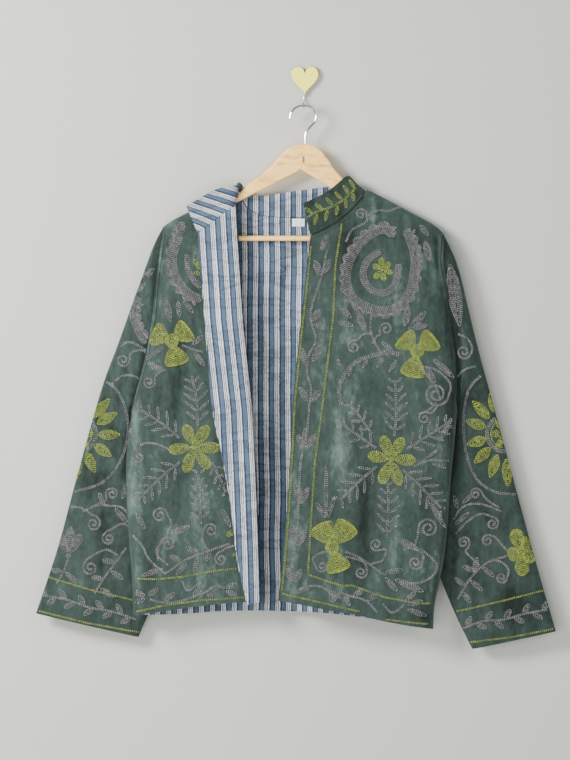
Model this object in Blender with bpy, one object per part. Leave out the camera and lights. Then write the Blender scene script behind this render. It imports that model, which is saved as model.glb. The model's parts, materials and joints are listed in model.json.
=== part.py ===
"""Open velvet jacket on a wooden hanger, hung from a hook under a heart-shaped wall plaque.

Sizes are in millimetres until a mesh is made. X runs to the right as seen from the front,
Z runs up, and the front faces -Y. The origin is the middle of the plaque's flat back, so the
wall is the plane y = 0. Right and left are the wearer's: the right half of the jacket is on -X.
"""

import math

import bpy
import numpy as np

MM = 0.001

# Cloth
VELVET = 1.5
LINING = 1.0
SEAM_GAP = 0.4
LAYER_GAP = 0.5
LABEL_THICKNESS = 0.8
LABEL_X = (-20.5, -0.5)
LABEL_Z = (-222.4, -234.7)
FIT_GAP = 0.3

# Depths of the hung jacket, as distances in front of the wall
HANGER_DEPTH = 24.0
BACK_DEPTH = 13.0
SIDE_SEAM_DEPTH = 42.0
BACK_SIDE_DEPTH = 38.0
SHOULDER_ROLL = 12.0
NECK_ROLL = 15.0
NECK_ROLL_REACH = 40.0
SIDE_ROLL = 30.0
FRONT_ROLL_DEPTH = 9.5
LEFT_CHEST_DEPTH = 27.0
RIGHT_CHEST_DEPTH = 19.0
CHEST_FALL = 170.0

# Below the armholes the back comes forward at the sides: where that starts on each side and over what
# width, and from what height over what drop
RIGHT_HOLLOW_X = -128.0
LEFT_HOLLOW_X = 100.0
HOLLOW_WIDTH = 76.0
HOLLOW_TOP = -400.0
HOLLOW_DROP = 120.0

# Where the panels begin to roll round to their side seams, and over what drop
SIDE_TURN_TOP = -380.0
SIDE_TURN_DROP = 130.0

# How far the walls' normals turn at the last row above the underarm
UNDERARM_TURN = 0.5

# Lapel of the right front
FOLD_LIFT = 7.0
FREE_EDGE_LIFT = 4.5
FOLD_INSET = 6.5
LAPEL_COLUMNS = 7
LINING_INSIDE_COLUMNS = 2
LINING_INSET = 1.2

# Hanger
ARM_THICKNESS = 11.0
ARM_EDGE_ROUND = 3.0
BAR_DIAMETER = 8.5
BAR_HEIGHT = -254.2
BAR_SOCKET_X = (-197.0, 192.0)
HOOK_WIRE = 3.5
WIRE_POINTS = 25

# Wall plaque and its hook
PLAQUE_WIDTH = 45.0
PLAQUE_HEIGHT = 47.0
HEART_NOTCH = 0.5
HEART_POINTS = 37

# Rounded edge of the plaque: distance from the wall, and the outline's scale there
PLAQUE_RINGS = [(0.0, 0.97), (0.8, 1.0), (6.2, 1.0), (7.5, 0.975), (8.0, 0.93)]
WALL_HOOK_WIRE = 2.6
WALL_HOOK_X = -2.2

# Neck points, where the collar seam crosses the shoulder seam: x, z
RIGHT_NECK = (-108.8, -170.8)
LEFT_NECK = (101.0, -175.5)

# Shoulder seams, from the neck out to the shoulder point: x, z
RIGHT_SHOULDER = [RIGHT_NECK, (-150.0, -193.0), (-189.3, -213.0), (-210.0, -223.5),
                  (-227.2, -235.2)]
LEFT_SHOULDER = [LEFT_NECK, (148.8, -200.5), (196.8, -226.0), (212.0, -236.0), (223.4, -248.0)]

# Armhole seams, from the shoulder point down to the underarm: x, z
RIGHT_ARMHOLE = [(-227.2, -235.2), (-232.0, -275.0), (-238.4, -321.6), (-249.6, -419.2),
                 (-274.0, -514.0)]
LEFT_ARMHOLE = [(223.4, -248.0), (221.0, -296.0), (228.8, -336.0), (235.2, -395.2), (243.6, -470.4),
                (241.6, -513.6)]

# Side seams, from the underarm down to the hem: x, z
RIGHT_SIDE = [(-274.0, -514.0), (-284.8, -585.6), (-286.4, -651.2), (-281.6, -736.0), (-276.8, -800.0),
              (-275.2, -857.6)]
LEFT_SIDE = [(241.6, -513.6), (243.0, -545.0), (239.0, -587.2), (232.0, -660.8), (226.4, -739.2),
             (217.6, -797.6), (206.5, -838.4), (205.6, -880.0)]

# Edge of the left front, from the collar seam down to the hem: x, z
LEFT_OPENING = [(8.6, -250.0), (-6.0, -380.0), (-19.2, -513.6), (-27.2, -660.8), (-40.0, -809.6),
                (-43.2, -833.6)]
LEFT_NECKLINE = [(8.6, -250.0), (47.7, -231.7), (70.6, -213.3), (91.0, -189.0), LEFT_NECK]
LEFT_HEM = [(-43.2, -833.6), (0.0, -841.5), (48.0, -851.2), (88.0, -857.6), (126.4, -867.2),
            (205.6, -880.0)]

# Fold of the right front, from the neck point down to the hem, and the free edge beyond it: x, z
LAPEL_TOP = (-108.6, -204.5)
RIGHT_FOLD = [RIGHT_NECK, LAPEL_TOP, (-101.4, -318.7), (-97.1, -385.6), (-84.0, -529.6), (-76.0, -656.0),
              (-72.0, -769.6), (-70.4, -836.8)]
RIGHT_FREE_EDGE = [(-171.4, -247.4), (-164.0, -340.0), (-150.4, -513.6), (-145.6, -545.6),
                   (-123.2, -656.0), (-108.8, -769.6), (-92.8, -840.0)]
RIGHT_HEM = [(-70.4, -836.8), (-96.0, -836.0), (-160.0, -842.0), (-220.0, -850.5), (-275.2, -857.6)]

# Neckline and hem of the back, from right to left: x, z
BACK_NECKLINE = [RIGHT_NECK, (-97.0, -207.0), (-70.0, -219.0), (-20.0, -221.0), (40.0, -218.0),
                 (82.0, -204.0), LEFT_NECK]
BACK_HEM = [(-275.2, -857.6), (-219.0, -857.0), (-96.0, -852.0), (0.0, -854.5), (46.0, -857.0),
            (150.0, -871.0), (205.6, -880.0)]

# Depth in front of the wall down the armhole seam: fraction of it, front edge, back edge
ARMHOLE_DEPTHS = [
    (0.00, 24.0, 24.0),
    (0.02, 30.0, 18.0),
    (0.06, 34.0, 15.0),
    (0.16, 39.0, 14.5),
    (0.38, 43.0, 15.5),
    (0.65, 45.0, 20.0),
    (0.86, 45.5, 29.0),
    (0.95, 44.5, 34.0),
    (1.00, 42.0, 42.0),
]

# Drop below the shoulder seams over which the folds of the fronts and of the back begin
FRONT_FOLD_START = 40.0
BACK_FOLD_START = 60.0

# Shares of a fold's length over which it grows at its top and fades at its bottom, and where it ends
FOLD_GROWTH = 0.3
FOLD_FADING = 0.25
FOLD_END = 1.25

# Folds: x at the top, x at the bottom, z at the top, z at the bottom, half width, height
LEFT_FRONT_FOLDS = [
    (109.0, 111.0, -178.0, -262.0, 13.0, 2.6),
    (170.0, 196.0, -214.0, -330.0, 9.0, -2.4),
    (62.0, 30.0, -420.0, -845.0, 26.0, 3.2),
    (128.0, 118.0, -360.0, -870.0, 30.0, -3.6),
    (186.0, 170.0, -440.0, -880.0, 22.0, 3.4),
    (150.0, 168.0, -800.0, -895.0, 20.0, 6.0),
    (60.0, 104.0, -500.0, -530.0, 18.0, -2.0),
]
RIGHT_FRONT_FOLDS = [
    (-196.0, -222.0, -232.0, -420.0, 16.0, 2.8),
    (-232.0, -250.0, -520.0, -850.0, 18.0, 3.0),
    (-196.0, -206.0, -430.0, -850.0, 22.0, -3.2),
    (-150.0, -160.0, -500.0, -850.0, 20.0, 2.6),
]
BACK_FOLDS = [
    (-150.0, -186.0, -260.0, -860.0, 26.0, 3.4),
    (-84.0, -104.0, -330.0, -860.0, 24.0, -3.2),
    (-18.0, -22.0, -250.0, -860.0, 30.0, 3.0),
    (48.0, 60.0, -340.0, -860.0, 24.0, -3.0),
    (118.0, 142.0, -270.0, -870.0, 26.0, 3.4),
]

# Sleeve edges, from the armhole down to the cuff: x, z
RIGHT_SLEEVE_OUTER = [(-227.2, -235.2), (-243.2, -265.6), (-259.2, -310.4), (-284.8, -379.2),
                      (-300.8, -427.2), (-324.8, -488.0), (-372.8, -659.2), (-396.8, -750.4),
                      (-432.0, -856.0)]
RIGHT_SLEEVE_INNER = [(-274.0, -514.0), (-279.5, -532.0), (-279.0, -552.0), (-265.0, -588.0),
                      (-238.0, -636.0), (-214.0, -688.0), (-210.0, -740.0), (-226.0, -800.0),
                      (-251.8, -857.6), (-267.2, -894.4)]
LEFT_SLEEVE_OUTER = [(223.4, -248.0), (244.0, -292.8), (259.2, -352.0), (276.8, -425.6), (300.8, -513.6),
                     (339.2, -656.0), (371.2, -774.4), (403.2, -884.8)]
LEFT_SLEEVE_INNER = [(241.6, -513.6), (245.5, -532.0), (244.0, -552.0), (232.0, -590.0), (210.0, -638.0),
                     (196.0, -690.0), (199.0, -746.0), (217.6, -800.0), (243.2, -862.4), (268.8, -913.6)]

# Sleeve depths: fraction of the way down, depth of the outer edge, of the inner edge, half thickness
SLEEVE_SECTIONS = [
    (0.00, 24.0, 42.0, 13.0),
    (0.10, 24.0, 40.5, 12.5),
    (0.22, 23.0, 37.0, 12.0),
    (0.36, 22.0, 31.5, 11.5),
    (0.46, 22.0, 26.0, 11.0),
    (0.56, 21.0, 22.0, 11.0),
    (0.70, 21.0, 20.0, 11.5),
    (0.85, 23.0, 21.0, 12.5),
    (1.00, 25.0, 22.0, 12.0),
]

# Sleeve folds: fraction down at the outer edge, at the inner edge, half width of that fraction, height
SLEEVE_FOLDS = [
    (0.30, 0.16, 0.035, 2.6),
    (0.44, 0.34, 0.040, -2.4),
    (0.50, 0.60, 0.035, 2.2),
    (0.70, 0.62, 0.040, 2.0),
    (0.90, 0.84, 0.030, -1.8),
]

# Share of a sleeve's width, at each edge, over which its folds fade
SLEEVE_FOLD_EDGE = 0.2

# Power of the curve that a sleeve's front and back follow across it: 0.5 is an ellipse, less is fuller
SLEEVE_OVAL = 0.42

# Rows of a sleeve, as fractions of the way down, and the length over which it leaves its armhole's shape
SLEEVE_ROWS = np.concatenate([[0.0, 0.03, 0.065, 0.105], np.linspace(0.15, 1.0, 15)])
ARMHOLE_BLEND = 0.3

# Least sine of the angle between a sleeve's section and its edge for which the wall is widened
LEAST_EDGE_SINE = 0.4

# The sections fan out from the underarm before they move down the inner edge: how far down the outer
# edge and the inner edge the fan reaches, as fractions of each
FAN_OUTER = 0.36
FAN_INNER = 0.035

# Fullness that a sleeve gains just outside its armhole, how soon it is there and how late it is gone,
# and the shares of the width over which it grows from the outer edge and fades at the inner edge
SLEEVE_EASE = 4.0
EASE_START = 0.04
EASE_END = 0.45
EASE_GROWTH = 0.3
EASE_FADING = 0.05

# Top edge of the stand collar: place along the seam, then x, depth, z. Places 0 to 1 run along the
# left front's neckline, 1 to 2 round the back from left to right, 2 to 3 down to the lapel's fold,
# and 3 to 4 along the top of the lapel.
COLLAR_EDGE = [
    (0.00, -2.9, 47.0, -198.7),
    (0.18, 15.5, 44.5, -190.4),
    (0.36, 34.5, 41.5, -180.6),
    (0.60, 54.0, 36.5, -165.2),
    (0.84, 66.0, 30.0, -154.8),
    (1.00, 73.0, 22.5, -156.5),
    (1.05, 69.0, 15.5, -161.0),
    (1.14, 58.0, 11.6, -167.0),
    (1.31, 29.3, 11.2, -171.8),
    (1.54, -22.0, 11.2, -178.5),
    (1.72, -74.7, 11.2, -186.0),
    (1.84, -92.0, 11.0, -180.0),
    (1.93, -101.5, 12.5, -169.0),
    (2.00, -106.0, 24.0, -164.6),
    (2.25, -107.4, 31.8, -165.0),
    (2.60, -109.0, 37.0, -167.6),
    (3.00, -112.0, 39.6, -170.0),
    (3.20, -121.0, 39.6, -171.4),
    (3.45, -137.0, 39.0, -174.4),
    (3.75, -163.0, 37.4, -187.0),
    (4.00, -189.9, 36.2, -203.0),
]
COLLAR_ROWS = 5
COLLAR_GAP = 0.9
NECK_POINT_GAP = 2.6

# Steps along each stretch of the collar's seam, and how often the seam is then smoothed
COLLAR_STEPS = (14, 24, 6, 8)
COLLAR_SMOOTHINGS = 2

# Upper edge of the hanger's arms, from the right end over the crown to the left end: x, z
ARM_TOP = [(-208.0, -248.0), (-206.0, -238.0), (-199.0, -228.0), (-189.0, -218.2), (-150.0, -200.5),
           (-124.0, -191.5), (-111.0, -186.5), (-104.0, -180.5), (-95.0, -171.0), (-86.0, -164.4),
           (-74.7, -156.6), (-62.5, -145.9), (-50.2, -133.6), (-38.1, -119.5), (-28.7, -111.3),
           (-15.0, -104.4), (-2.7, -102.4), (11.5, -104.8), (24.8, -112.2), (32.3, -121.4), (40.0, -132.2),
           (47.7, -144.3), (59.2, -156.6), (72.0, -171.5), (85.0, -189.5), (101.0, -196.5), (120.0, -200.5),
           (148.8, -208.0), (190.0, -227.8), (201.0, -236.0), (204.0, -248.0)]

# Lower edge from the left socket to the notch under the crown, and on to the right socket: x, z
ARM_BOTTOM_LEFT = [(192.0, -246.5), (150.0, -231.0), (104.0, -213.0), (76.0, -200.0), (42.2, -173.4),
                   (-5.9, -144.3)]
ARM_BOTTOM_RIGHT = [(-5.9, -144.3), (-56.5, -170.4), (-107.7, -195.7), (-150.0, -217.0), (-197.0, -240.6)]
ARM_END_X = (-208.0, 204.0)
SOCKET_Z = -262.0

# Chrome hook of the hanger, from its tip over the top and down to the crown: x, z
HANGER_HOOK_PATH = [(-24.0, -61.5), (-22.4, -53.0), (-15.5, -44.6), (-4.0, -41.0), (7.6, -43.0),
                    (15.6, -50.0), (18.2, -58.6), (15.6, -67.2), (8.2, -75.5), (2.6, -83.0), (0.6, -90.0),
                    (0.6, -102.0)]

# Hook under the plaque, from its root out to its tip: depth, z
WALL_HOOK_PATH = [(4.0, -23.4), (4.0, -29.0), (7.0, -34.5), (12.8, -38.8), (18.5, -42.6), (24.0, -44.35),
                  (28.8, -42.6), (31.6, -38.0), (32.2, -33.0)]

# Materials: colour, roughness, metallic
FINISHES = {
    "velvet": ((0.062, 0.112, 0.088), 0.85, 0.0),
    "striped_cotton": ((0.34, 0.43, 0.55), 0.9, 0.0),
    "label_tape": ((0.80, 0.81, 0.82), 0.8, 0.0),
    "painted_plaque": ((0.76, 0.74, 0.26), 0.5, 0.0),
    "beech": ((0.72, 0.50, 0.30), 0.45, 0.0),
    "chrome": ((0.80, 0.80, 0.81), 0.18, 1.0),
}

# Edges that turn more sharply than this are shaded sharp
SHARP_ANGLE = math.radians(40.0)

# Straight steps that stand for a curve between two of its points
CURVE_STEPS = 12


def clear_scene():
    """Remove every object of the scene."""
    for obj in list(bpy.data.objects):
        bpy.data.objects.remove(obj)


def finish(name):
    """Return the named Principled material, made on its first use."""
    made = bpy.data.materials.get(name)
    if made:
        return made
    colour, roughness, metallic = FINISHES[name]
    made = bpy.data.materials.new(name)
    made.use_nodes = True
    shader = made.node_tree.nodes["Principled BSDF"]
    shader.inputs["Base Color"].default_value = (*colour, 1.0)
    shader.inputs["Roughness"].default_value = roughness
    shader.inputs["Metallic"].default_value = metallic
    return made


def add_object(name, points, faces, material):
    """Make an object from points in millimetres and faces."""
    mesh = bpy.data.meshes.new(name)
    mesh.from_pydata([tuple(p) for p in np.asarray(points) * MM], [], faces)
    mesh.materials.append(material)
    mesh.shade_smooth()
    mesh.set_sharp_from_angle(angle=SHARP_ANGLE)
    obj = bpy.data.objects.new(name, mesh)
    bpy.context.scene.collection.objects.link(obj)
    return obj


def ramp(t):
    """Smooth step from 0 to 1."""
    t = np.clip(t, 0.0, 1.0)
    return t * t * (3.0 - 2.0 * t)


def roll(t):
    """Quarter circle from 0 to 1, steep at its start."""
    return np.sqrt(1.0 - (1.0 - np.clip(t, 0.0, 1.0)) ** 2)


def smooth_curve(points, fractions, corners=()):
    """Points at the given fractions of the length of a smooth curve, sharp at the numbered corners."""
    points = np.array(points, float)
    last = len(points) - 1
    dense = [points[0]]
    for i in range(last):
        before = points[i - 1] if i > 0 and i not in corners else 2 * points[i] - points[i + 1]
        beyond = i + 1 < last and i + 1 not in corners
        after = points[i + 2] if beyond else 2 * points[i + 1] - points[i]
        for t in np.linspace(0.0, 1.0, CURVE_STEPS + 1)[1:]:
            a, b = points[i], points[i + 1]
            dense.append(0.5 * (2 * a + (b - before) * t + (2 * before - 5 * a + 4 * b - after) * t ** 2
                                + (3 * a - before - 3 * b + after) * t ** 3))
    dense = np.array(dense)
    run = np.concatenate(([0.0], np.cumsum(np.linalg.norm(np.diff(dense, axis=0), axis=1))))
    at = np.asarray(fractions) * run[-1]
    return np.stack([np.interp(at, run, dense[:, k]) for k in range(dense.shape[1])], axis=1)


def smooth_between(places, values, at):
    """Values read at places from a smooth curve through a table of places and values."""
    slopes = np.gradient(values, places, axis=0)
    i = np.clip(np.searchsorted(places, at, side="right") - 1, 0, len(places) - 2)
    step = (places[i + 1] - places[i])[:, None]
    t = (at - places[i])[:, None] / step
    return (values[i] * (1 + 2 * t) * (1 - t) ** 2 + values[i + 1] * t ** 2 * (3 - 2 * t)
            + step * (slopes[i] * t * (1 - t) ** 2 - slopes[i + 1] * t ** 2 * (1 - t)))


def length_of(points):
    """Length of a chain of points."""
    points = np.array(points, float)
    return float(np.linalg.norm(np.diff(points, axis=0), axis=1).sum())


def fill_edges(top, bottom, inner, outer, across, down):
    """Grid of points between four edges. Rows run down and columns run across."""
    u = across[None, :, None]
    v = down[:, None, None]
    between_rows = (1 - v) * top[None] + v * bottom[None]
    between_columns = (1 - u) * inner[:, None] + u * outer[:, None]
    top_corners = (1 - u) * top[0] + u * top[-1]
    bottom_corners = (1 - u) * bottom[0] + u * bottom[-1]
    return between_rows + between_columns - (1 - v) * top_corners - v * bottom_corners


def shoulder_z(x):
    """Height of the shoulder seams above x, level between the neck points."""
    line = RIGHT_SHOULDER[::-1] + LEFT_SHOULDER
    return np.interp(x, [p[0] for p in line], [p[1] for p in line])


def roll_length(x):
    """Length of the roll over the shoulder seams, which is gentler next to the neck."""
    from_neck = np.maximum(RIGHT_NECK[0] - x, x - LEFT_NECK[0])
    return NECK_ROLL + (SHOULDER_ROLL - NECK_ROLL) * ramp(from_neck / NECK_ROLL_REACH)


def seam_depths(column):
    """Depths of the rows of a front edge (column 1) or back edge (column 2), armhole and side seam."""
    armhole = np.interp(ARMHOLE_ROWS, [r[0] for r in ARMHOLE_DEPTHS], [r[column] for r in ARMHOLE_DEPTHS])
    return np.concatenate([armhole, np.full(len(SIDE_ROWS), SIDE_SEAM_DEPTH)])


def fold_height(x, z, folds):
    """Height of the folds at x, z. Each is a soft ridge that fades in below its top."""
    total = np.zeros_like(x)
    for x_top, x_bottom, z_top, z_bottom, half_width, height in folds:
        down = (z_top - z) / (z_top - z_bottom)
        centre = x_top + (x_bottom - x_top) * np.clip(down, 0.0, 1.0)
        fade = ramp(down / FOLD_GROWTH) * ramp((FOLD_END - down) / FOLD_FADING)
        total += height * fade * np.exp(-((x - centre) / half_width) ** 2)
    return total


def front_depth(x, z, chest_depth, folds):
    """Depth of a front's outer face away from its side seam."""
    drop = np.maximum(shoulder_z(x) - z, 0.0)
    hang = FRONT_ROLL_DEPTH * roll(drop / roll_length(x)) + chest_depth * ramp(drop / CHEST_FALL)
    return HANGER_DEPTH + hang + fold_height(x, z, folds) * ramp(drop / FRONT_FOLD_START)


def back_depth(x, z):
    """Depth of the back's outer face away from its side seams, with the hollows that the sleeves hang in."""
    drop = np.maximum(shoulder_z(x) - z, 0.0)
    depth = HANGER_DEPTH - (HANGER_DEPTH - BACK_DEPTH) * roll(drop / roll_length(x))
    side = ramp(np.maximum(RIGHT_HOLLOW_X - x, x - LEFT_HOLLOW_X) / HOLLOW_WIDTH)
    hollow = side * ramp((HOLLOW_TOP - z) / HOLLOW_DROP)
    depth = depth + (BACK_SIDE_DEPTH - BACK_DEPTH) * hollow
    return depth - fold_height(x, z, BACK_FOLDS) * (1.0 - hollow) * ramp(drop / BACK_FOLD_START)


# Distances down the armhole of the rows, as fractions of it
ARMHOLE_ROWS = np.array([0.0, 0.005, 0.016, 0.04, 0.08, 0.17, 0.32, 0.49, 0.66, 0.82, 0.94, 1.0])
SIDE_ROWS = np.linspace(0.0, 1.0, 12)[1:]

# Columns of the back, as fractions in from each shoulder point to the neck, and across the neck
BACK_SHOULDER_STEPS = np.array([0.0, 0.025, 0.07, 0.15, 0.32, 0.54, 0.78, 1.0])
BACK_NECK_STEPS = np.array([0.018, 0.06, 0.16, 0.30, 0.44, 0.58, 0.72, 0.86, 0.945, 0.982])

# Columns of the fronts, as fractions across them: even at first, and closer where they roll to the side
LEFT_FRONT_COLUMNS = 12
RIGHT_FRONT_COLUMNS = 10
LAST_EVEN_COLUMN = 0.86
ROLL_COLUMNS = (0.92, 0.96, 0.985, 1.0)

# Rows of the right front between the neck point and the top of the lapel, as fractions of that height
NECK_ROWS = np.array([0.0, 0.05, 0.14, 0.32, 0.62, 1.0])

# Angles of the points round the lapel's fold, from the lapel to the front
FOLD_ANGLES = (135.0, 90.0, 45.0)


def outer_edge(armhole, side):
    """Rows along an armhole and side seam: their x, z and their fractions of the whole edge."""
    armhole_length = length_of(armhole)
    side_length = length_of(side)
    whole = armhole_length + side_length
    points = np.vstack([smooth_curve(armhole, ARMHOLE_ROWS), smooth_curve(side, SIDE_ROWS)])
    run = np.concatenate([ARMHOLE_ROWS * armhole_length, armhole_length + SIDE_ROWS * side_length])
    return points, run / whole


RIGHT_OUTER, RIGHT_DOWN = outer_edge(RIGHT_ARMHOLE, RIGHT_SIDE)
LEFT_OUTER, LEFT_DOWN = outer_edge(LEFT_ARMHOLE, LEFT_SIDE)


def blend_to_seam(grid, depth, edge, column):
    """Depth of a panel that meets its armhole smoothly and rolls round to its side seam."""
    away = np.linalg.norm(grid - edge[:, None], axis=2) / SIDE_ROLL
    below_armhole = ramp((SIDE_TURN_TOP - edge[:, 1]) / SIDE_TURN_DROP)[:, None]
    turn = below_armhole * roll(away) + (1.0 - below_armhole) * ramp(away)
    edge_depth = seam_depths(column)[:, None]
    return edge_depth + (depth - edge_depth) * turn


def with_depth(grid, depth):
    """Points x, y, z of a grid of x, z at the given depths in front of the wall."""
    return np.stack([grid[..., 0], -depth, grid[..., 1]], axis=-1)


def grid_quads(rows, columns, closed=False):
    """Quads of a grid that is stored row by row."""
    quads = []
    for r in range(rows - 1):
        for c in range(columns if closed else columns - 1):
            d = (c + 1) % columns
            quads.append((r * columns + c, (r + 1) * columns + c, (r + 1) * columns + d, r * columns + d))
    return quads


def point_normals(points, quads):
    """Unit normals of points, averaged over the quads round them."""
    normals = np.zeros_like(points)
    for quad in quads:
        a, b, c, d = (points[i] for i in quad)
        normal = np.cross(c - a, d - b)
        for i in quad:
            normals[i] += normal
    return normals / np.linalg.norm(normals, axis=1)[:, None]


def soften(normals, quads):
    """Average each normal with its neighbours', so that a wall keeps its thickness where it turns."""
    total = normals.copy()
    for quad in quads:
        share = normals[list(quad)].sum(axis=0)
        for i in quad:
            total[i] += share
    return total / np.linalg.norm(total, axis=1)[:, None]


def flatten_depth(normals, rows, share=1.0):
    """Turn the normals of the given points square to the depth, wholly or by a share, towards a seam."""
    normals[rows, 1] *= 1.0 - share
    normals[rows] /= np.linalg.norm(normals[rows], axis=1)[:, None]


def cloth_shell(name, points, quads, normals, thickness, material, below=0.0):
    """Make a closed wall of cloth whose outer face lies below the points by the given distance."""
    outer = points - normals * below
    add_walls(name, outer, outer - normals * thickness, quads, material)


def shorter_diagonal_first(points, quad):
    """The corners of a quad in the same turn, from an end of its shorter diagonal."""
    a, b, c, d = quad
    if np.linalg.norm(points[a] - points[c]) <= np.linalg.norm(points[b] - points[d]):
        return a, b, c, d
    return b, c, d, a


def add_walls(name, outer, inner, quads, material):
    """Make a closed wall between an outer and an inner face, whose quads are split alike in triangles."""
    count = len(outer)
    faces = []
    for quad in quads:
        a, b, c, d = shorter_diagonal_first(outer, quad)
        faces += [(a, b, c), (a, c, d)]
        faces += [(count + a, count + c, count + b), (count + a, count + d, count + c)]
    edges = [(quad[i - 1], quad[i]) for quad in quads for i in range(4)]
    known = set(edges)
    for a, b in edges:
        if (b, a) not in known:
            faces += [(b, a, count + a), (b, count + a, count + b)]
    add_object(name, np.vstack([outer, inner]), faces, material)


def columns_to_side(even):
    """Fractions across a front, closer together where it rolls round to the side."""
    return np.concatenate([np.linspace(0.0, LAST_EVEN_COLUMN, even), ROLL_COLUMNS])


def left_front_grid():
    """Outer face of the left front, which hangs closed. Columns run from its free edge to its side."""
    across = columns_to_side(LEFT_FRONT_COLUMNS)
    top = smooth_curve(LEFT_NECKLINE + LEFT_SHOULDER[1:], across, corners=(len(LEFT_NECKLINE) - 1,))
    bottom = smooth_curve(LEFT_HEM, across)
    inner = smooth_curve(LEFT_OPENING, LEFT_DOWN)
    grid = fill_edges(top, bottom, inner, LEFT_OUTER, across, LEFT_DOWN)
    depth = front_depth(grid[..., 0], grid[..., 1], LEFT_CHEST_DEPTH, LEFT_FRONT_FOLDS)
    return with_depth(grid, blend_to_seam(grid, depth, LEFT_OUTER, 1) + SEAM_GAP / 2)


def right_front_grid():
    """Outer face of the right front. Columns run from the lapel's free edge round the fold to the side.

    The rows above the lapel have no lapel columns, so those points are left as not-a-number.
    """
    across = columns_to_side(RIGHT_FRONT_COLUMNS)
    lapel_across = np.linspace(0.0, 1.0, LAPEL_COLUMNS)
    first = len(NECK_ROWS) - 1
    below = (RIGHT_DOWN[first:] - RIGHT_DOWN[first]) / (1.0 - RIGHT_DOWN[first])
    fold = np.vstack([smooth_curve(RIGHT_FOLD[:2], NECK_ROWS), smooth_curve(RIGHT_FOLD[1:], below)[1:]])
    fold[:, 0] -= FOLD_INSET * np.concatenate([NECK_ROWS ** 2, np.ones(len(below) - 1)])

    top = smooth_curve(RIGHT_SHOULDER, across)
    hem = np.array(RIGHT_HEM, float)
    hem[0, 0] -= FOLD_INSET
    body = fill_edges(top, smooth_curve(hem, across), fold, RIGHT_OUTER, across, RIGHT_DOWN)
    depth = front_depth(body[..., 0], body[..., 1], RIGHT_CHEST_DEPTH, RIGHT_FRONT_FOLDS)
    body = with_depth(body, blend_to_seam(body, depth, RIGHT_OUTER, 1) + SEAM_GAP / 2)

    free_edge = smooth_curve(RIGHT_FREE_EDGE, below)
    lapel_top = smooth_curve([fold[first], free_edge[0]], lapel_across)
    lapel_hem = smooth_curve([fold[-1], free_edge[-1]], lapel_across)
    lapel = fill_edges(lapel_top, lapel_hem, fold[first:], free_edge, lapel_across, below)
    lift = FOLD_LIFT + (FREE_EDGE_LIFT - FOLD_LIFT) * lapel_across
    depth = front_depth(lapel[..., 0], lapel[..., 1], RIGHT_CHEST_DEPTH, RIGHT_FRONT_FOLDS)
    lapel = with_depth(lapel, depth + SEAM_GAP / 2 + lift)

    rounding = []
    for angle in np.radians(FOLD_ANGLES):
        turned = body[first:, 0].copy()
        turned[:, 0] += FOLD_LIFT / 2 * math.sin(angle)
        turned[:, 1] -= FOLD_LIFT / 2 * (1.0 - math.cos(angle))
        rounding.append(turned)
    folded = np.concatenate([lapel[:, ::-1], np.stack(rounding, axis=1)], axis=1)
    missing = np.full((first, folded.shape[1], 3), np.nan)
    return np.concatenate([np.concatenate([missing, folded]), body], axis=1)


def back_grid():
    """Outer face of the back. Columns run from its right side to its left side."""
    right, neck, left = length_of(RIGHT_SHOULDER), length_of(BACK_NECKLINE), length_of(LEFT_SHOULDER)
    whole = right + neck + left
    across = np.concatenate([
        BACK_SHOULDER_STEPS * right,
        right + BACK_NECK_STEPS * neck,
        whole - BACK_SHOULDER_STEPS[::-1] * left,
    ]) / whole
    edge = RIGHT_SHOULDER[::-1] + BACK_NECKLINE[1:] + LEFT_SHOULDER[1:]
    corners = (len(RIGHT_SHOULDER) - 1, len(RIGHT_SHOULDER) + len(BACK_NECKLINE) - 2)
    top = smooth_curve(edge, across, corners)
    bottom = smooth_curve(BACK_HEM, across)
    down = (RIGHT_DOWN + LEFT_DOWN) / 2
    grid = fill_edges(top, bottom, RIGHT_OUTER, LEFT_OUTER, across, down)
    depth = blend_to_seam(grid, back_depth(grid[..., 0], grid[..., 1]), RIGHT_OUTER, 2)
    depth = blend_to_seam(grid, depth, LEFT_OUTER, 2)
    return with_depth(grid, depth - SEAM_GAP / 2)


def sheet_parts(grid, flip=False, closed=False):
    """Points and quads of a grid, without the points that are not numbers."""
    rows, columns = grid.shape[:2]
    points = grid.reshape(-1, 3)
    present = ~np.isnan(points[:, 0])
    number = np.where(present, np.cumsum(present) - 1, -1)
    quads = []
    for quad in grid_quads(rows, columns, closed):
        if all(present[i] for i in quad):
            renumbered = tuple(int(number[i]) for i in quad)
            quads.append(renumbered[::-1] if flip else renumbered)
    return points[present], quads, number.reshape(rows, columns)


def at_shoulder(points, numbers):
    """Those of the numbered points that lie on the shoulder seam."""
    return [i for i in numbers if abs(-points[i, 1] - HANGER_DEPTH) < 1.0]


def make_front(name, grid, flip):
    """Make a front and return its points, normals and numbering."""
    points, quads, number = sheet_parts(grid, flip)
    normals = soften(point_normals(points, quads), quads)
    below_armhole = len(ARMHOLE_ROWS) - 1
    flatten_depth(normals, [number[below_armhole - 1, -1]], UNDERARM_TURN)
    flatten_depth(normals, list(number[below_armhole:, -1]) + at_shoulder(points, number[0]))
    cloth_shell(name, points, quads, normals, VELVET, finish("velvet"))
    return points, normals, number


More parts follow.
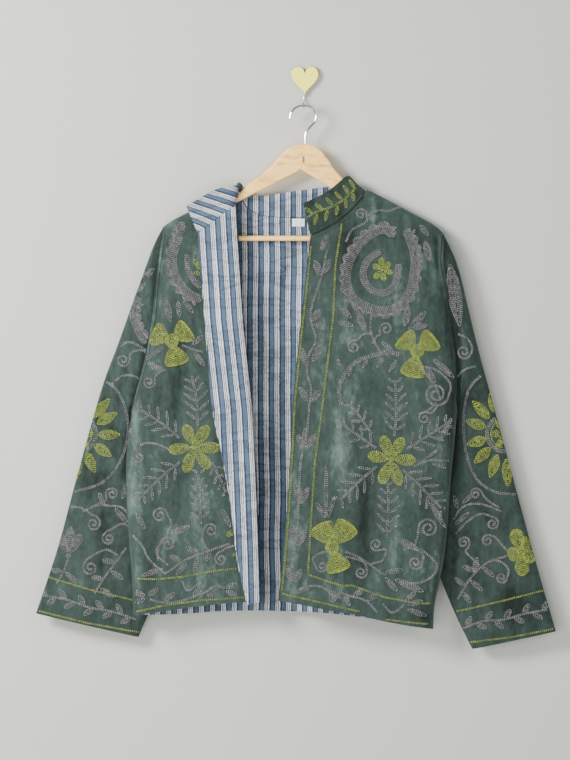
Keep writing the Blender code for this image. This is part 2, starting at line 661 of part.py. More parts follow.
def make_lapel_lining(points, normals, number):
    """Lining of the right front, over the lapel, round the fold and a little way into the inside."""
    first = int(np.argmax(number[:, 0] >= 0))
    columns = LAPEL_COLUMNS + len(FOLD_ANGLES) + LINING_INSIDE_COLUMNS
    patch = number[first:, :columns]
    chosen = patch.reshape(-1)
    rows = patch.shape[0]
    lined = points[chosen].copy().reshape(rows, columns, 3)
    inward = lined[:, 1] - lined[:, 0]
    lined[:, 0] += inward / np.linalg.norm(inward, axis=1)[:, None] * LINING_INSET
    quads = [quad[::-1] for quad in grid_quads(rows, columns)]
    cloth_shell("lapel_lining", lined.reshape(-1, 3), quads, normals[chosen], LINING,
                finish("striped_cotton"), below=VELVET + LAYER_GAP)


def make_back():
    """Make the back, its lining and the neck label. Returns the back's points, normals and numbering."""
    grid = back_grid()
    points, quads, number = sheet_parts(grid, flip=True)
    normals = soften(point_normals(points, quads), quads)
    below_armhole = len(ARMHOLE_ROWS) - 1
    flatten_depth(normals, [number[below_armhole - 1, 0], number[below_armhole - 1, -1]], UNDERARM_TURN)
    seams = list(number[below_armhole:, 0]) + list(number[below_armhole:, -1])
    flatten_depth(normals, seams + at_shoulder(points, number[0]))
    cloth_shell("back_panel", points, quads, normals, VELVET, finish("velvet"))

    inside = number[:, 1:-1]
    chosen = inside.reshape(-1)
    rows, columns = inside.shape
    lining_quads = [quad[::-1] for quad in grid_quads(rows, columns)]
    cloth_shell("back_lining", points[chosen], lining_quads, normals[chosen], LINING,
                finish("striped_cotton"), below=VELVET + LAYER_GAP)
    make_label()
    return points, normals, number


def make_label():
    """Bare label sewn over the lining, under the seam of the back neck."""
    across = np.linspace(LABEL_X[0], LABEL_X[1], 4)
    down = np.linspace(LABEL_Z[0], LABEL_Z[1], 3)
    x, z = np.meshgrid(across, down)
    grid = with_depth(np.stack([x, z], axis=-1), back_depth(x, z) - SEAM_GAP / 2)
    points, quads, _ = sheet_parts(grid, flip=True)
    under = VELVET + LAYER_GAP + LINING + LAYER_GAP
    normals = point_normals(points, quads)
    cloth_shell("neck_label", points, quads, normals, LABEL_THICKNESS, finish("label_tape"), below=under)


def armhole_ring(front, back):
    """Points and normals round an armhole: down its front half, then up its back half."""
    (front_points, front_normals), (back_points, back_normals) = front, back
    points = np.concatenate([front_points, back_points[-2:0:-1]])
    normals = np.concatenate([front_normals, back_normals[-2:0:-1]])
    under = len(front_points) - 1
    for end, other in ((0, 0), (under, -1)):
        points[end] = (front_points[end] + back_points[other]) / 2
    return points, normals


def half_oval(s):
    """Height of half an oval over 0 to 1."""
    return np.maximum(1.0 - (2.0 * s - 1.0) ** 2, 0.0) ** SLEEVE_OVAL


def sleeve_fold_height(w, s):
    """Height of the folds that run across a sleeve from its outer to its inner edge."""
    total = np.zeros_like(s)
    for at_outer, at_inner, half_width, height in SLEEVE_FOLDS:
        centre = at_outer + (at_inner - at_outer) * s
        total += height * np.exp(-((w - centre) / half_width) ** 2)
    return total * ramp(np.minimum(s, 1.0 - s) / SLEEVE_FOLD_EDGE)


def edge_inset(edge, section, wall):
    """How far along each section a wall's thickness reaches at an edge that the section meets at an angle."""
    along = np.gradient(edge, axis=0)
    along /= np.linalg.norm(along, axis=1)[:, None]
    sine = np.abs(along[:, 0] * section[:, 1] - along[:, 1] * section[:, 0])
    return wall / np.maximum(sine, LEAST_EDGE_SINE)


def sleeve_grid(outer, inner, start, wall):
    """Face of a sleeve, from its armhole down to the cuff, a wall's thickness inside its outer face.

    Columns run round it: down its front half from the outer to the inner edge, and back up its back half.
    """
    down = SLEEVE_ROWS
    side = math.copysign(1.0, outer[0][0])
    outer_points = smooth_curve(outer, down)
    inner_points = smooth_curve(inner, np.interp(down, (0.0, FAN_OUTER, 1.0), (0.0, FAN_INNER, 1.0)))
    section = inner_points - outer_points
    section /= np.linalg.norm(section, axis=1)[:, None]
    outer_points, inner_points = (
        outer_points + section * edge_inset(outer_points, section, wall)[:, None],
        inner_points - section * edge_inset(inner_points, section, wall)[:, None])
    s = np.concatenate([ARMHOLE_ROWS, ARMHOLE_ROWS[-2:0:-1]])
    front = np.where(np.arange(len(s)) < len(ARMHOLE_ROWS), 1.0, -1.0)
    places = [r[0] for r in SLEEVE_SECTIONS]
    rows = []
    for w, top, under in zip(down, outer_points, inner_points):
        depth_outer, depth_inner, half_depth = (np.interp(w, places, [r[k] for r in SLEEVE_SECTIONS])
                                                for k in (1, 2, 3))
        flat = top[None] * (1.0 - s[:, None]) + under[None] * s[:, None]
        ease = SLEEVE_EASE * ramp(w / EASE_START) * ramp((EASE_END - w) / (EASE_END - EASE_START))
        flat[:, 0] += side * ease * ramp(s / EASE_GROWTH) * ramp((1.0 - s) / EASE_FADING)
        depth = depth_outer * (1.0 - s) + depth_inner * s
        depth = depth + front * ((half_depth - wall) * half_oval(s) + sleeve_fold_height(w, s))
        rows.append(with_depth(flat, depth))
    grid = np.array(rows)
    away = 1.0 - ramp(down / ARMHOLE_BLEND)
    return grid + (start - grid[0])[None] * away[:, None, None]


def make_sleeve(name, outer, inner, front, back):
    """Make a sleeve that starts a seam's gap outside its armhole."""
    ring, ring_normals = armhole_ring(front, back)
    side = math.copysign(1.0, outer[0][0])
    outward = np.cross(ring_normals, np.gradient(ring, axis=0))
    outward /= np.linalg.norm(outward, axis=1)[:, None]
    outward *= np.where(outward[:, 0] * side < 0.0, -1.0, 1.0)[:, None]
    under = len(ARMHOLE_ROWS) - 1
    outward[under] = (side, 0.0, 0.0)
    ring_normals[under] = (0.0, 0.0, -1.0)
    start = ring + outward * SEAM_GAP
    points, quads, _ = sheet_parts(sleeve_grid(outer, inner, start, 0.0), flip=side > 0.0, closed=True)
    lined = sleeve_grid(outer, inner, start - ring_normals * VELVET, VELVET)
    add_walls(name, points, lined.reshape(-1, 3), quads, finish("velvet"))


def raised_edge(panel, edge, beside):
    """Points of a panel's edge, moved off it by the collar's gap and square to the edge."""
    points, normals = panel[:2]
    away = np.cross(normals[edge], np.gradient(points[edge], axis=0))
    away *= np.sign(np.sum(away * (points[edge] - points[beside]), axis=1))[:, None]
    return points[edge] + away / np.linalg.norm(away, axis=1)[:, None] * COLLAR_GAP


def collar_seam(left, back, right):
    """Stretches of the collar's seam, each a chain of points just off the neckline of its panel."""
    left_points, _, left_number = left
    back_points, _, back_number = back
    right_points, _, right_number = right
    to_neck = next(c for c in range(left_number.shape[1]) if at_shoulder(left_points, [left_number[0, c]]))
    shoulder = len(BACK_SHOULDER_STEPS) - 1
    round_back = back_number[:2, shoulder:-shoulder][:, ::-1]
    first = int(np.argmax(right_number[:, 0] >= 0))
    fold = LAPEL_COLUMNS + len(FOLD_ANGLES)

    along_left = raised_edge(left, left_number[0, :to_neck + 1], left_number[1, :to_neck + 1])[:-1]
    along_back = raised_edge(back, round_back[0], round_back[1])[1:-1]
    to_fold = raised_edge(right, right_number[:first + 1, fold], right_number[:first + 1, fold + 1])[1:-1]
    lapel = right_number[first:first + 2, fold::-1]
    along_lapel = raised_edge(right, lapel[0], lapel[1])
    along_lapel[0, 0] += COLLAR_GAP / 2
    up = np.array([0.0, 0.0, NECK_POINT_GAP])
    left_neck = (left_points[left_number[0, to_neck]] + back_points[round_back[0, 0]]) / 2 + up
    right_neck = (right_points[right_number[0, fold]] + back_points[round_back[0, -1]]) / 2 + up
    return [
        np.vstack([along_left, left_neck]),
        np.vstack([left_neck, along_back, right_neck]),
        np.vstack([right_neck, to_fold, along_lapel[0]]),
        along_lapel,
    ]


def make_collar(left, back, right):
    """Make the stand collar and its lining as one band from the neckline to the collar's top edge."""
    seam = []
    places = []
    for number, stretch in enumerate(collar_seam(left, back, right)):
        run = np.concatenate([[0.0], np.cumsum(np.linalg.norm(np.diff(stretch, axis=0), axis=1))])
        fractions = np.linspace(0.0, 1.0, COLLAR_STEPS[number] + 1)[1 if number else 0:]
        seam.append(np.stack([np.interp(fractions * run[-1], run, stretch[:, k]) for k in range(3)], axis=1))
        places.append(number + fractions)
    seam = np.vstack(seam)
    places = np.concatenate(places)
    for _ in range(COLLAR_SMOOTHINGS):
        seam[1:-1] += (seam[:-2] + seam[2:] - 2 * seam[1:-1]) / 4
    table = np.array(COLLAR_EDGE)
    edge = smooth_between(table[:, 0], table[:, 1:], places)
    edge = np.stack([edge[:, 0], -edge[:, 1], edge[:, 2]], axis=1)
    height = np.linspace(1.0, 0.0, COLLAR_ROWS)[:, None, None]
    points, quads, _ = sheet_parts(seam[None] + (edge - seam)[None] * height)
    normals = point_normals(points, quads)
    cloth_shell("collar_velvet", points, quads, normals, VELVET, finish("velvet"))
    cloth_shell("collar_lining", points, quads, normals, LINING, finish("striped_cotton"),
                below=VELVET + LAYER_GAP)


def add_stack(name, rings, material):
    """Make a solid from rings of x, depth, z, each of which runs anticlockwise as seen from the front."""
    rings = np.array(rings)
    count = rings.shape[1]
    points = np.stack([rings[..., 0], -rings[..., 1], rings[..., 2]], axis=-1).reshape(-1, 3)
    faces = [tuple(range(count - 1, -1, -1)), tuple(range(len(points) - count, len(points)))]
    faces += [quad[::-1] for quad in grid_quads(len(rings), count, closed=True)]
    return add_object(name, points, faces, material)


def make_hanger_arms():
    """Both beech arms in one plate, with a drop at each end that holds the bar."""
    top = smooth_curve(ARM_TOP, np.linspace(0.0, 1.0, 46))
    left = smooth_curve(ARM_BOTTOM_LEFT, np.linspace(0.0, 1.0, 10))
    right = smooth_curve(ARM_BOTTOM_RIGHT, np.linspace(0.0, 1.0, 10))
    left_socket = [(ARM_END_X[1], SOCKET_Z), (BAR_SOCKET_X[1], SOCKET_Z)]
    right_socket = [(BAR_SOCKET_X[0], SOCKET_Z), (ARM_END_X[0], SOCKET_Z)]
    outline = [*map(tuple, top), *left_socket, *map(tuple, left), *map(tuple, right[1:]), *right_socket]
    depths = (HANGER_DEPTH - ARM_THICKNESS / 2, HANGER_DEPTH + ARM_THICKNESS / 2)
    rings = [[(x, depth, z) for x, z in outline[::-1]] for depth in depths]
    arms = add_stack("hanger_arms", rings, finish("beech"))
    rounding = arms.modifiers.new("rounded_edges", "BEVEL")
    rounding.width = ARM_EDGE_ROUND * MM
    rounding.segments = 2
    rounding.limit_method = "ANGLE"
    rounding.angle_limit = math.radians(60.0)


def make_hanger_bar():
    """Round bar between the two sockets, on the hanger's middle plane."""
    length = BAR_SOCKET_X[1] - BAR_SOCKET_X[0] - 2 * FIT_GAP
    bpy.ops.mesh.primitive_cylinder_add(
        vertices=16, radius=BAR_DIAMETER / 2 * MM, depth=length * MM,
        location=(sum(BAR_SOCKET_X) / 2 * MM, -HANGER_DEPTH * MM, BAR_HEIGHT * MM),
        rotation=(0.0, math.pi / 2, 0.0))
    obj = bpy.context.object
    obj.name = "hanger_bar"
    obj.data.materials.append(finish("beech"))
    obj.data.shade_smooth()
    obj.data.set_sharp_from_angle(angle=SHARP_ANGLE)


def add_wire(name, path, diameter):
    """Make a round chrome wire with flat ends along a smooth path of x, y, z."""
    curve = bpy.data.curves.new(name, "CURVE")
    curve.dimensions = "3D"
    curve.bevel_depth = diameter / 2 * MM
    curve.bevel_resolution = 2
    curve.use_fill_caps = True
    points = smooth_curve(path, np.linspace(0.0, 1.0, WIRE_POINTS)) * MM
    spline = curve.splines.new("POLY")
    spline.points.add(len(points) - 1)
    for point, place in zip(spline.points, points):
        point.co = (*place, 1.0)
    curve.materials.append(finish("chrome"))
    obj = bpy.data.objects.new(name, curve)
    bpy.context.scene.collection.objects.link(obj)


def make_hooks():
    """The hanger's chrome hook and the small hook that it hangs on."""
    add_wire("hanger_hook", [(x, -HANGER_DEPTH, z) for x, z in HANGER_HOOK_PATH], HOOK_WIRE)
    add_wire("wall_hook", [(WALL_HOOK_X, -depth, z) for depth, z in WALL_HOOK_PATH], WALL_HOOK_WIRE)


def heart_outline():
    """Heart of the plaque's size, with its middle at the origin."""
    turn = np.concatenate([[0.0], np.linspace(HEART_NOTCH, 2 * math.pi - HEART_NOTCH, HEART_POINTS)])
    x = -np.sin(turn) ** 3
    z = (13 * np.cos(turn) - 5 * np.cos(2 * turn) - 2 * np.cos(3 * turn) - np.cos(4 * turn)) / 16
    z = (z - (z.max() + z.min()) / 2) / (z.max() - z.min())
    return [(a * PLAQUE_WIDTH / 2, b * PLAQUE_HEIGHT) for a, b in zip(x, z)]


def make_plaque():
    """Heart-shaped plaque with its flat back on the wall, built ring by ring towards the front."""
    rings = [[(x * scale, depth, z * scale) for x, z in heart_outline()] for depth, scale in PLAQUE_RINGS]
    add_stack("wall_plaque", rings, finish("painted_plaque"))


def armhole_of(panel, column):
    """Points and normals of a panel's armhole edge."""
    points, normals, number = panel
    edge = number[:len(ARMHOLE_ROWS), column]
    return points[edge], normals[edge]


def make_jacket():
    """The sewn pieces, each ending a seam's gap from its neighbours."""
    back = make_back()
    right = make_front("front_right", right_front_grid(), True)
    left = make_front("front_left", left_front_grid(), False)
    make_lapel_lining(*right)
    make_sleeve("sleeve_right", RIGHT_SLEEVE_OUTER, RIGHT_SLEEVE_INNER,
                armhole_of(right, -1), armhole_of(back, 0))
    make_sleeve("sleeve_left", LEFT_SLEEVE_OUTER, LEFT_SLEEVE_INNER,
                armhole_of(left, -1), armhole_of(back, -1))
    make_collar(left, back, right)


def main():
    clear_scene()
    make_jacket()
    make_hanger_arms()
    make_hanger_bar()
    make_hooks()
    make_plaque()


main()
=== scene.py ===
"""Velvet suzani jacket on a beech hanger: the finish that goes over its fixed frame.

The frame gives every piece its place and size. Each cloth piece is a finer, creased copy of its
solid, the embroidery is sewn over it in raised chain stitches, and the hanger, its hook, the wall
hook and the plaque keep their solids and get their materials.

Embroidery and creases are drawn on a grid of squares, SQUARE wide, counted to the right and down
from its corner. The wall is the plane y = 0 and the front of the jacket faces -Y.
"""

import json
import math

import bmesh
import bpy
import numpy as np
from bpy.props import FloatProperty, FloatVectorProperty, PointerProperty
from bpy.types import Operator, Panel, PropertyGroup
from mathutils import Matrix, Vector
from mathutils.bvhtree import BVHTree

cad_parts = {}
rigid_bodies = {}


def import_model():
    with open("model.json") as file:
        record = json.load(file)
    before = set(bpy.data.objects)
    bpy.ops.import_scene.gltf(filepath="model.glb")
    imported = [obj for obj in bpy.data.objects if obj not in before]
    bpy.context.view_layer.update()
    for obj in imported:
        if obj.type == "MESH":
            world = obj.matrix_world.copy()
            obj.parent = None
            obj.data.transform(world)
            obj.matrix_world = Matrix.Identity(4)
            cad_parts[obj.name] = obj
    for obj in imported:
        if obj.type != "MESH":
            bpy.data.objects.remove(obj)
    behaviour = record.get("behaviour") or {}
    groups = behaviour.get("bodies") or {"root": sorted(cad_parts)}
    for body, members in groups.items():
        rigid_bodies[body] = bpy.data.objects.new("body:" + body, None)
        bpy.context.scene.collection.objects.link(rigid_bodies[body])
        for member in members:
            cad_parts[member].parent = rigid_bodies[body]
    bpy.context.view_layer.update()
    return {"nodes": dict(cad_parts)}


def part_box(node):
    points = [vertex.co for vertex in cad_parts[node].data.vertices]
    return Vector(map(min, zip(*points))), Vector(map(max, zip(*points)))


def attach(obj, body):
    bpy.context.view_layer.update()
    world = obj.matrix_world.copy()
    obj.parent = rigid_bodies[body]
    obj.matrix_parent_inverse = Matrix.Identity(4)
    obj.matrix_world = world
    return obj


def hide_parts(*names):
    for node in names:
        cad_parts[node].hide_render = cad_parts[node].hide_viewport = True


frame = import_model()

bl_info = {
    "name": "Suzani jacket",
    "version": (1, 0, 0),
    "blender": (4, 5, 0),
    "location": "View3D > Sidebar > Suzani",
    "description": "Finishes the embroidered velvet jacket, its hanger and its wall hook",
    "category": "Object",
}

MM = 0.001

# Drawing grid: width of a square, and the square over the middle of the plaque
SQUARE = 1.6 * MM
GRID_X = 305.0
GRID_Z = 79.0

# Fold of the lapel, from the top down, in squares
LAPEL_FOLD = [(237.1, 206.8), (239, 240), (241.6, 278.2), (244.3, 320), (254, 410), (257.5, 489), (260, 560),
              (261, 602)]

# Armholes and side seams from the shoulder points to the hem, in squares
RIGHT_SEAM = [(163, 226), (160, 251), (156, 280), (149, 341), (133.8, 400.3), (127, 445), (126, 486),
              (129, 539), (132, 579), (133, 615)]
LEFT_SEAM = [(444.6, 234), (443.1, 264), (448, 289), (452, 326), (457.3, 373), (456, 400), (454, 446),
             (450, 492), (446.5, 541), (441, 577.5), (434, 603), (433.5, 629)]
UNDERARM = 400.0

# Seams along the top of the fronts and of the back, from right to left, in squares, and how far from a seam
# the relief fades out
FRONT_TOP = [(163, 226), (186.7, 213), (197.9, 233.6), (211, 226), (236.4, 206.8), (310.4, 235.2),
             (334.8, 223.8), (349.1, 212.3), (368, 188.7), (398, 206), (428, 221), (444.6, 234)]
BACK_TOP = [(163, 226), (237, 186), (244, 208.5), (261, 216), (292.5, 217), (330, 215), (356, 206.5),
            (368, 188.7), (398, 206), (444.6, 234)]
SEAM_FADE = 13.0 * MM

# Cloth solids: distance of points that are one, angle of a rim that stays sharp, how skewed a quad may be
# that two triangles join to, and levels of subdivision
SAME_POINT = 0.01 * MM
RIM_ANGLE = math.radians(56.0)
SKEWED_QUAD = math.radians(179.0)
CLOTH_LEVELS = 2

# Creases: x, y at each end in squares, half width and height in mm. A negative height is a valley.
FRONT_CREASES = [
    (373, 196, 374, 232, 3, 1.6), (380, 200, 386, 240, 5, -1.6), (402, 214, 408, 246, 3.4, -2.2),
    (411, 219, 427, 274, 3, 2.2), (437, 236, 440, 268, 4, -3), (428, 262, 431, 292, 3.6, -1.6),
    (366, 392, 372, 404, 3.2, -2), (372, 404, 376, 412, 2.6, 1.2), (338, 400, 342, 480, 9, 2.4),
    (366, 474, 362, 580, 14, -3.2), (398, 500, 392, 590, 12, 2.4), (430, 470, 426, 600, 10, -2.2),
    (410, 280, 404, 350, 9, -1.6), (325, 316, 318, 380, 8, 1.6), (300, 520, 296, 596, 8, 1.8),
    (386, 622, 432, 616, 5, -3), (416, 262, 428, 277, 4.5, -1), (405, 226, 424, 262, 4.5, 1.8),
    (436, 250, 446, 310, 4, -2.2), (172, 218, 176, 262, 6, 1.6), (160, 262, 152, 330, 6, -1.8),
    (186, 330, 176, 430, 10, -1.8), (140, 430, 138, 600, 9, 2.4), (158, 500, 150, 600, 11, -2.4),
    (196, 480, 190, 590, 12, 2.2), (214, 500, 222, 596, 8, -1.6),
]
BACK_CREASES = [
    (212, 250, 196, 560, 22, 4), (244, 300, 240, 590, 16, -3.4), (286, 260, 284, 600, 18, 3.4),
    (322, 300, 330, 600, 16, -3.6), (360, 250, 376, 600, 20, 3.8), (398, 260, 414, 520, 12, -2.6),
    (176, 260, 168, 500, 12, -2.4), (206, 238, 250, 262, 8, -2.2), (400, 244, 352, 268, 8, -2.2),
    (226, 470, 262, 486, 9, 1.6), (300, 520, 350, 508, 9, 1.6),
]
SLEEVE_CREASES = [
    (150, 240, 120, 392, 6, -2.2), (138, 300, 108, 420, 7, 2), (96, 420, 128, 440, 6, -2.4),
    (84, 470, 124, 462, 7, 1.8), (66, 560, 118, 520, 7, -1.8), (56, 590, 130, 574, 8, 1.8),
    (98, 500, 74, 610, 9, 2), (126, 560, 132, 630, 7, -2), (446, 244, 470, 360, 6, 2.2),
    (452, 262, 462, 352, 4, -2.4), (470, 400, 506, 428, 6, -2.2), (474, 470, 512, 462, 7, 1.8),
    (470, 500, 520, 540, 7, -1.8), (486, 560, 540, 590, 8, 2), (500, 500, 520, 640, 9, -2),
    (458, 560, 476, 640, 6, 2),
]
LINING_CREASES = [
    (262, 246, 268, 300, 7, 1.6), (290, 240, 282, 300, 7, -1.6), (244, 296, 300, 296, 2.4, -0.8),
    (246, 356, 296, 357, 2.4, -0.8), (248, 441, 290, 440, 2.4, -0.8), (250, 476, 288, 477, 2.4, 0.8),
    (252, 550, 284, 550, 2.4, -0.8), (272, 330, 268, 420, 6, 1.2), (262, 430, 264, 560, 6, -1.2),
    (278, 480, 276, 590, 5, 1.2),
]
LAPEL_CREASES = [
    (214, 280, 230, 276, 3, -0.8), (206, 340, 240, 352, 3, 0.8), (212, 430, 250, 424, 3, -0.8),
    (220, 470, 254, 482, 3, 0.8), (230, 540, 258, 536, 3, -0.8), (218, 240, 224, 420, 7, 1.4),
]

# Creases run a share of their length past their ends, and fade over another share. The last number is the
# height in millimetres that gives a crease the full painted highlight on its ridge and painted shade in its
# valley.
CREASE_PAST_END = 0.12
CREASE_FADE = 0.3
CREASE_FULL_SHADING = 5.0

# Soft random fields: waves in a field, and the range of their lengths and the greatest phase
RIPPLE_WAVES = 7
RIPPLE_LENGTHS = (0.7, 1.6)
RIPPLE_PHASE = 6.3

# Relief of the cloth: its creases, how much they are deepened, a soft field over them (stretch upwards,
# length, rise, seed) and its top seam. The sleeves have no top seam, and are free below the underarm.
RELIEFS = {
    "front": (FRONT_CREASES + LAPEL_CREASES, 1.5, 0.45, 70.0 * MM, 0.8 * MM, 3, FRONT_TOP),
    "back": (BACK_CREASES, 1.0, 0.4, 90.0 * MM, 0.8 * MM, 5, BACK_TOP),
    "sleeve_right": (SLEEVE_CREASES, 1.0, 0.6, 60.0 * MM, 0.6 * MM, 11, None),
    "sleeve_left": (SLEEVE_CREASES, 1.0, 0.6, 60.0 * MM, 0.6 * MM, 17, None),
}

# Depth from a sleeve's middle over which its creases turn from its back to its front
SLEEVE_TURN = 6.0 * MM

# Patches of lighter and darker pile, with painted highlights on fold ridges and painted shade in folds and
# along
# the armholes among them: x, y, half width and half height in squares, and how light
NAP_AND_SHADING_PATCHES = [
    (345, 336, 16, 12, 0.5), (341, 440, 9, 44, 0.55), (352, 470, 8, 26, 0.4), (373, 214, 2.6, 20, 0.8),
    (407, 236, 3, 16, 0.6), (418, 262, 3, 14, 0.7), (396, 300, 5, 22, 0.5), (400, 330, 4, 24, 0.5),
    (384, 410, 12, 20, 0.25), (442, 262, 3, 26, 0.6), (432, 452, 14, 30, 0.3), (365, 520, 7, 56, -0.6),
    (380, 398, 9, 9, -0.5), (410, 250, 10, 30, -0.35), (300, 240, 14, 22, -0.7), (350, 244, 14, 30, -0.7),
    (426, 560, 10, 30, 0.3), (318, 590, 30, 8, 0.3), (330, 560, 14, 14, 0.35), (290, 480, 8, 90, 0.15),
    (412, 610, 26, 6, -0.4), (448, 350, 4, 60, -0.2), (160, 262, 3.2, 34, 0.7), (150, 330, 3, 40, 0.6),
    (136, 420, 4, 30, 0.6), (131, 520, 5, 80, 0.5), (190, 232, 9, 10, -0.3), (196, 300, 10, 20, -0.4),
    (172, 390, 16, 24, -0.35), (186, 470, 9, 26, -0.3), (150, 470, 14, 30, 0.15), (205, 500, 12, 30, 0.3),
    (170, 540, 14, 20, 0.3), (200, 586, 24, 14, 0.2), (128, 300, 8, 40, -0.2), (104, 400, 14, 40, -0.4),
    (80, 520, 14, 50, 0.15), (60, 590, 12, 20, 0.2), (470, 320, 8, 50, 0.2), (500, 430, 10, 40, 0.1),
    (520, 560, 16, 40, 0.25), (472, 560, 8, 60, -0.35), (478, 470, 5, 60, -0.3), (524, 604, 26, 30, -0.6),
    (90, 480, 24, 60, -0.35), (180, 330, 20, 60, -0.3), (446, 400, 10, 60, -0.35),
    (420, 236, 20, 16, -0.35), (443, 268, 2.2, 18, -0.7), (447, 305, 2.2, 22, -0.8),
    (452, 345, 2.2, 22, -0.8), (457, 385, 2.6, 20, -0.7), (330, 208, 26, 14, -0.35),
    (344, 250, 12, 34, -0.4), (132, 560, 3, 50, -0.5), (452, 440, 3, 60, -0.4), (456, 520, 4, 60, -0.5),
]

# Nap and painted shading: shares of the patches and of the painted highlight and shade of the creases, levels
# of the sleeves and the collar, and how dark and how wide the painted shade beside an armhole is, down to a
# row of squares
PATCH_SHARE = 0.40
CREASE_SHADING_SHARE = 0.28
SLEEVE_LEVEL = -0.10
COLLAR_LEVEL = -0.18
ARMHOLE_SHADE = 0.45
ARMHOLE_SHADE_WIDTH = 7.0 * MM
ARMHOLE_SHADE_ROW = 480.0

# Slow differences in the nap of the back and of the collar, and in the shade of the collar's lining: share,
# stretch upwards, length, seed
SLOW_CHANGES = {
    "back": (0.06, 0.4, 110.0 * MM, 9),
    "collar": (0.08, 1.0, 40.0 * MM, 31),
    "collar_lining": (0.05, 1.0, 25.0 * MM, 33),
}

# Velvet: level of the pile, layers of noise over it (scale per metre, detail, stretch, share), noise of
# its puckers (scale per metre, detail) and tint of its sheen
VELVET_LEVEL = -0.43
VELVET_LAYERS = ((13.0, 4.0, (1.4, 1.0, 0.75), 0.40), (60.0, 3.0, (1.0, 1.0, 0.35), 0.70),
                 (170.0, 3.0, (1.0, 1.0, 0.6), 0.60))
VELVET_PUCKERS = (75.0, 3.0)
VELVET_SHEEN_TINT = (0.75, 0.95, 0.86)

# Where the stripes start on the back, on the lapel and on the opened end of the collar, in repeats
BACK_STRIPE_SHIFT = 0.30
LAPEL_STRIPE_SHIFT = 0.10
COLLAR_STRIPE_SHIFT = 0.45

# Opened end of the collar: how far it reaches past the lapel's fold, and rows and slopes in degrees of the
# stripes at its bottom and top
COLLAR_END_PAST_FOLD = 1.5 * MM
COLLAR_END_ROWS = (233.0, 186.0)
COLLAR_END_SLOPES = (28.0, 18.0)

# Stripes: white in the fine lines, how far a thread wanders in repeats and how often, and slubs of the
# threads across and along them (scale per repeat, detail, stretch)
FINE_LINE_WHITE = 0.12
STRIPE_WANDER = 0.10
WANDER_SCALE = 3.0
WEFT_SLUBS = (9.0, 4.0, (0.35, 5.0, 1.0))
WARP_SLUBS = (9.0, 3.0, (6.0, 0.25, 1.0))

# How far the stripes of the back drift sideways, over what length and how little across them, and the seed
STRIPE_DRIFT = 0.9 * MM
DRIFT_LENGTH = 160.0 * MM
DRIFT_ACROSS = 0.4
DRIFT_SEED = 21

# Lining: its level; shares in its painted shading of the creases, of the flat cloth between painted shade
# lines along the crumples' ridges, and of the crumples' painted light and shade; its crumples (scale per
# metre, detail, stretch);
# and how sharp the painted shade lines along their ridges are
LINING_LEVEL = 0.46
LINING_SHARES = (0.8, 0.42, 0.60)
LINING_CRUMPLES = (26.0, 3.0, (0.6, 1.0, 1.9))
CRUMPLE_SHARPNESS = 18.0

# How much the creases shade the lining of the back and of the lapel
BACK_CREASE_SHADE = 1.5
LAPEL_CREASE_SHADE = 0.9

# Thread: noise of its dye (scale per metre, detail), gains at places on it, and the range of tones from
# stitch to stitch
DYE_NOISE = (160.0, 3.0)
THREAD_DYE = ((0.3, 0.62), (0.5, 1.0), (0.7, 1.38))
STITCH_TONES = (0.60, 1.38)

# Noises of the hard materials and the tape (scale per metre, detail, stretch), and colours of the tape
WOOD_GRAIN = (60.0, 4.0, (0.30, 3.0, 2.4))
WOOD_FLECKS = (240.0, 2.0, (0.40, 1.6, 1.3))
CHROME_WEAR = (400.0, 4.0, (1.0, 1.0, 0.4))
PLAQUE_BRUSH = (150.0, 4.0, (1.0, 1.0, 0.3))
TAPE_RIBS = (500.0, 2.0, (0.2, 1.0, 3.0))
TAPE_DARK = (0.52, 0.54, 0.56)
TAPE_LIGHT = (0.80, 0.81, 0.82)

# Wood: shares of its grain and flecks, places of its three tones on them, and gain of the palest
WOOD_SHARES = (0.65, 0.45)
WOOD_TONES = (0.35, 0.55, 0.80)
PALE_WOOD = 1.12

# Roughness of the wood and of the plaque with the share of noise over it, and the same of the chrome
WOOD_ROUGHNESS = 0.26
PLAQUE_ROUGHNESS = 0.38
UNEVEN_ROUGHNESS = 0.2
CHROME_ROUGHNESS = 0.10
WORN_ROUGHNESS = 0.16

# Glued joint of the hanger: its lower end (across, down), its lean, its width and how dark it is
JOINT_BOTTOM = (-6.0 * MM, 144.0 * MM)
JOINT_LEAN = 0.08
JOINT_WIDTH = 0.9 * MM
JOINT_STRENGTH = 0.6

# Painted shade in the short slot in the hanger's middle: column and row in squares, half width and half
# height, how dark it is and its colour
SLOT_SHADE_PLACE = (303.6, 159.0)
SLOT_SHADE_HALF = (1.7 * MM, 5.2 * MM)
SLOT_SHADE_STRENGTH = 0.85
SLOT_SHADE_COLOUR = (0.10, 0.06, 0.03)

# How far behind its front the painted shade on the plaque's rounded rim and sides begins, how uneven that
# edge is, and strength of the marks of the brush
PLAQUE_RIM_SHADE_DEPTH = 0.45 * MM
PLAQUE_UNEVEN = 0.6 * MM
BRUSH_MARKS = 0.08

# Threads of the embroidery, as the material's place on a stitched mesh
GREY = 0
LIME = 1
MOSS = 2

# In squares: distances between rows of stitches, between the two rows of a stem and of a border, and length
# and depth of a scallop. The power rounds its arc.
ROW_GAP = 1.45
STEM = 1.1
BORDER_GAP = 0.85
SCALLOP = 9.5
SCALLOP_DEPTH = 4.4
SCALLOP_POWER = 0.7

# A leaf: least half width of its innermost ring in squares, and the gap, in rows, that one more row fills
LEAF_CORE = 0.3
LEAF_GAP = 0.75

# Needle leaves of a fern: width, distance from the stem, bluntness, the least share of the full length, and
# how far up the curve of their lengths the first one is
NEEDLE = 3.3
NEEDLE_OFF_STEM = 1.5
NEEDLE_BLUNT = 0.4
NEEDLE_SHORTEST = 0.60
NEEDLE_START = 0.15

# Eye of a flower, in shares of a petal's width: half its length, and its width
EYE_HALF = 0.3
EYE_WIDTH = 0.6

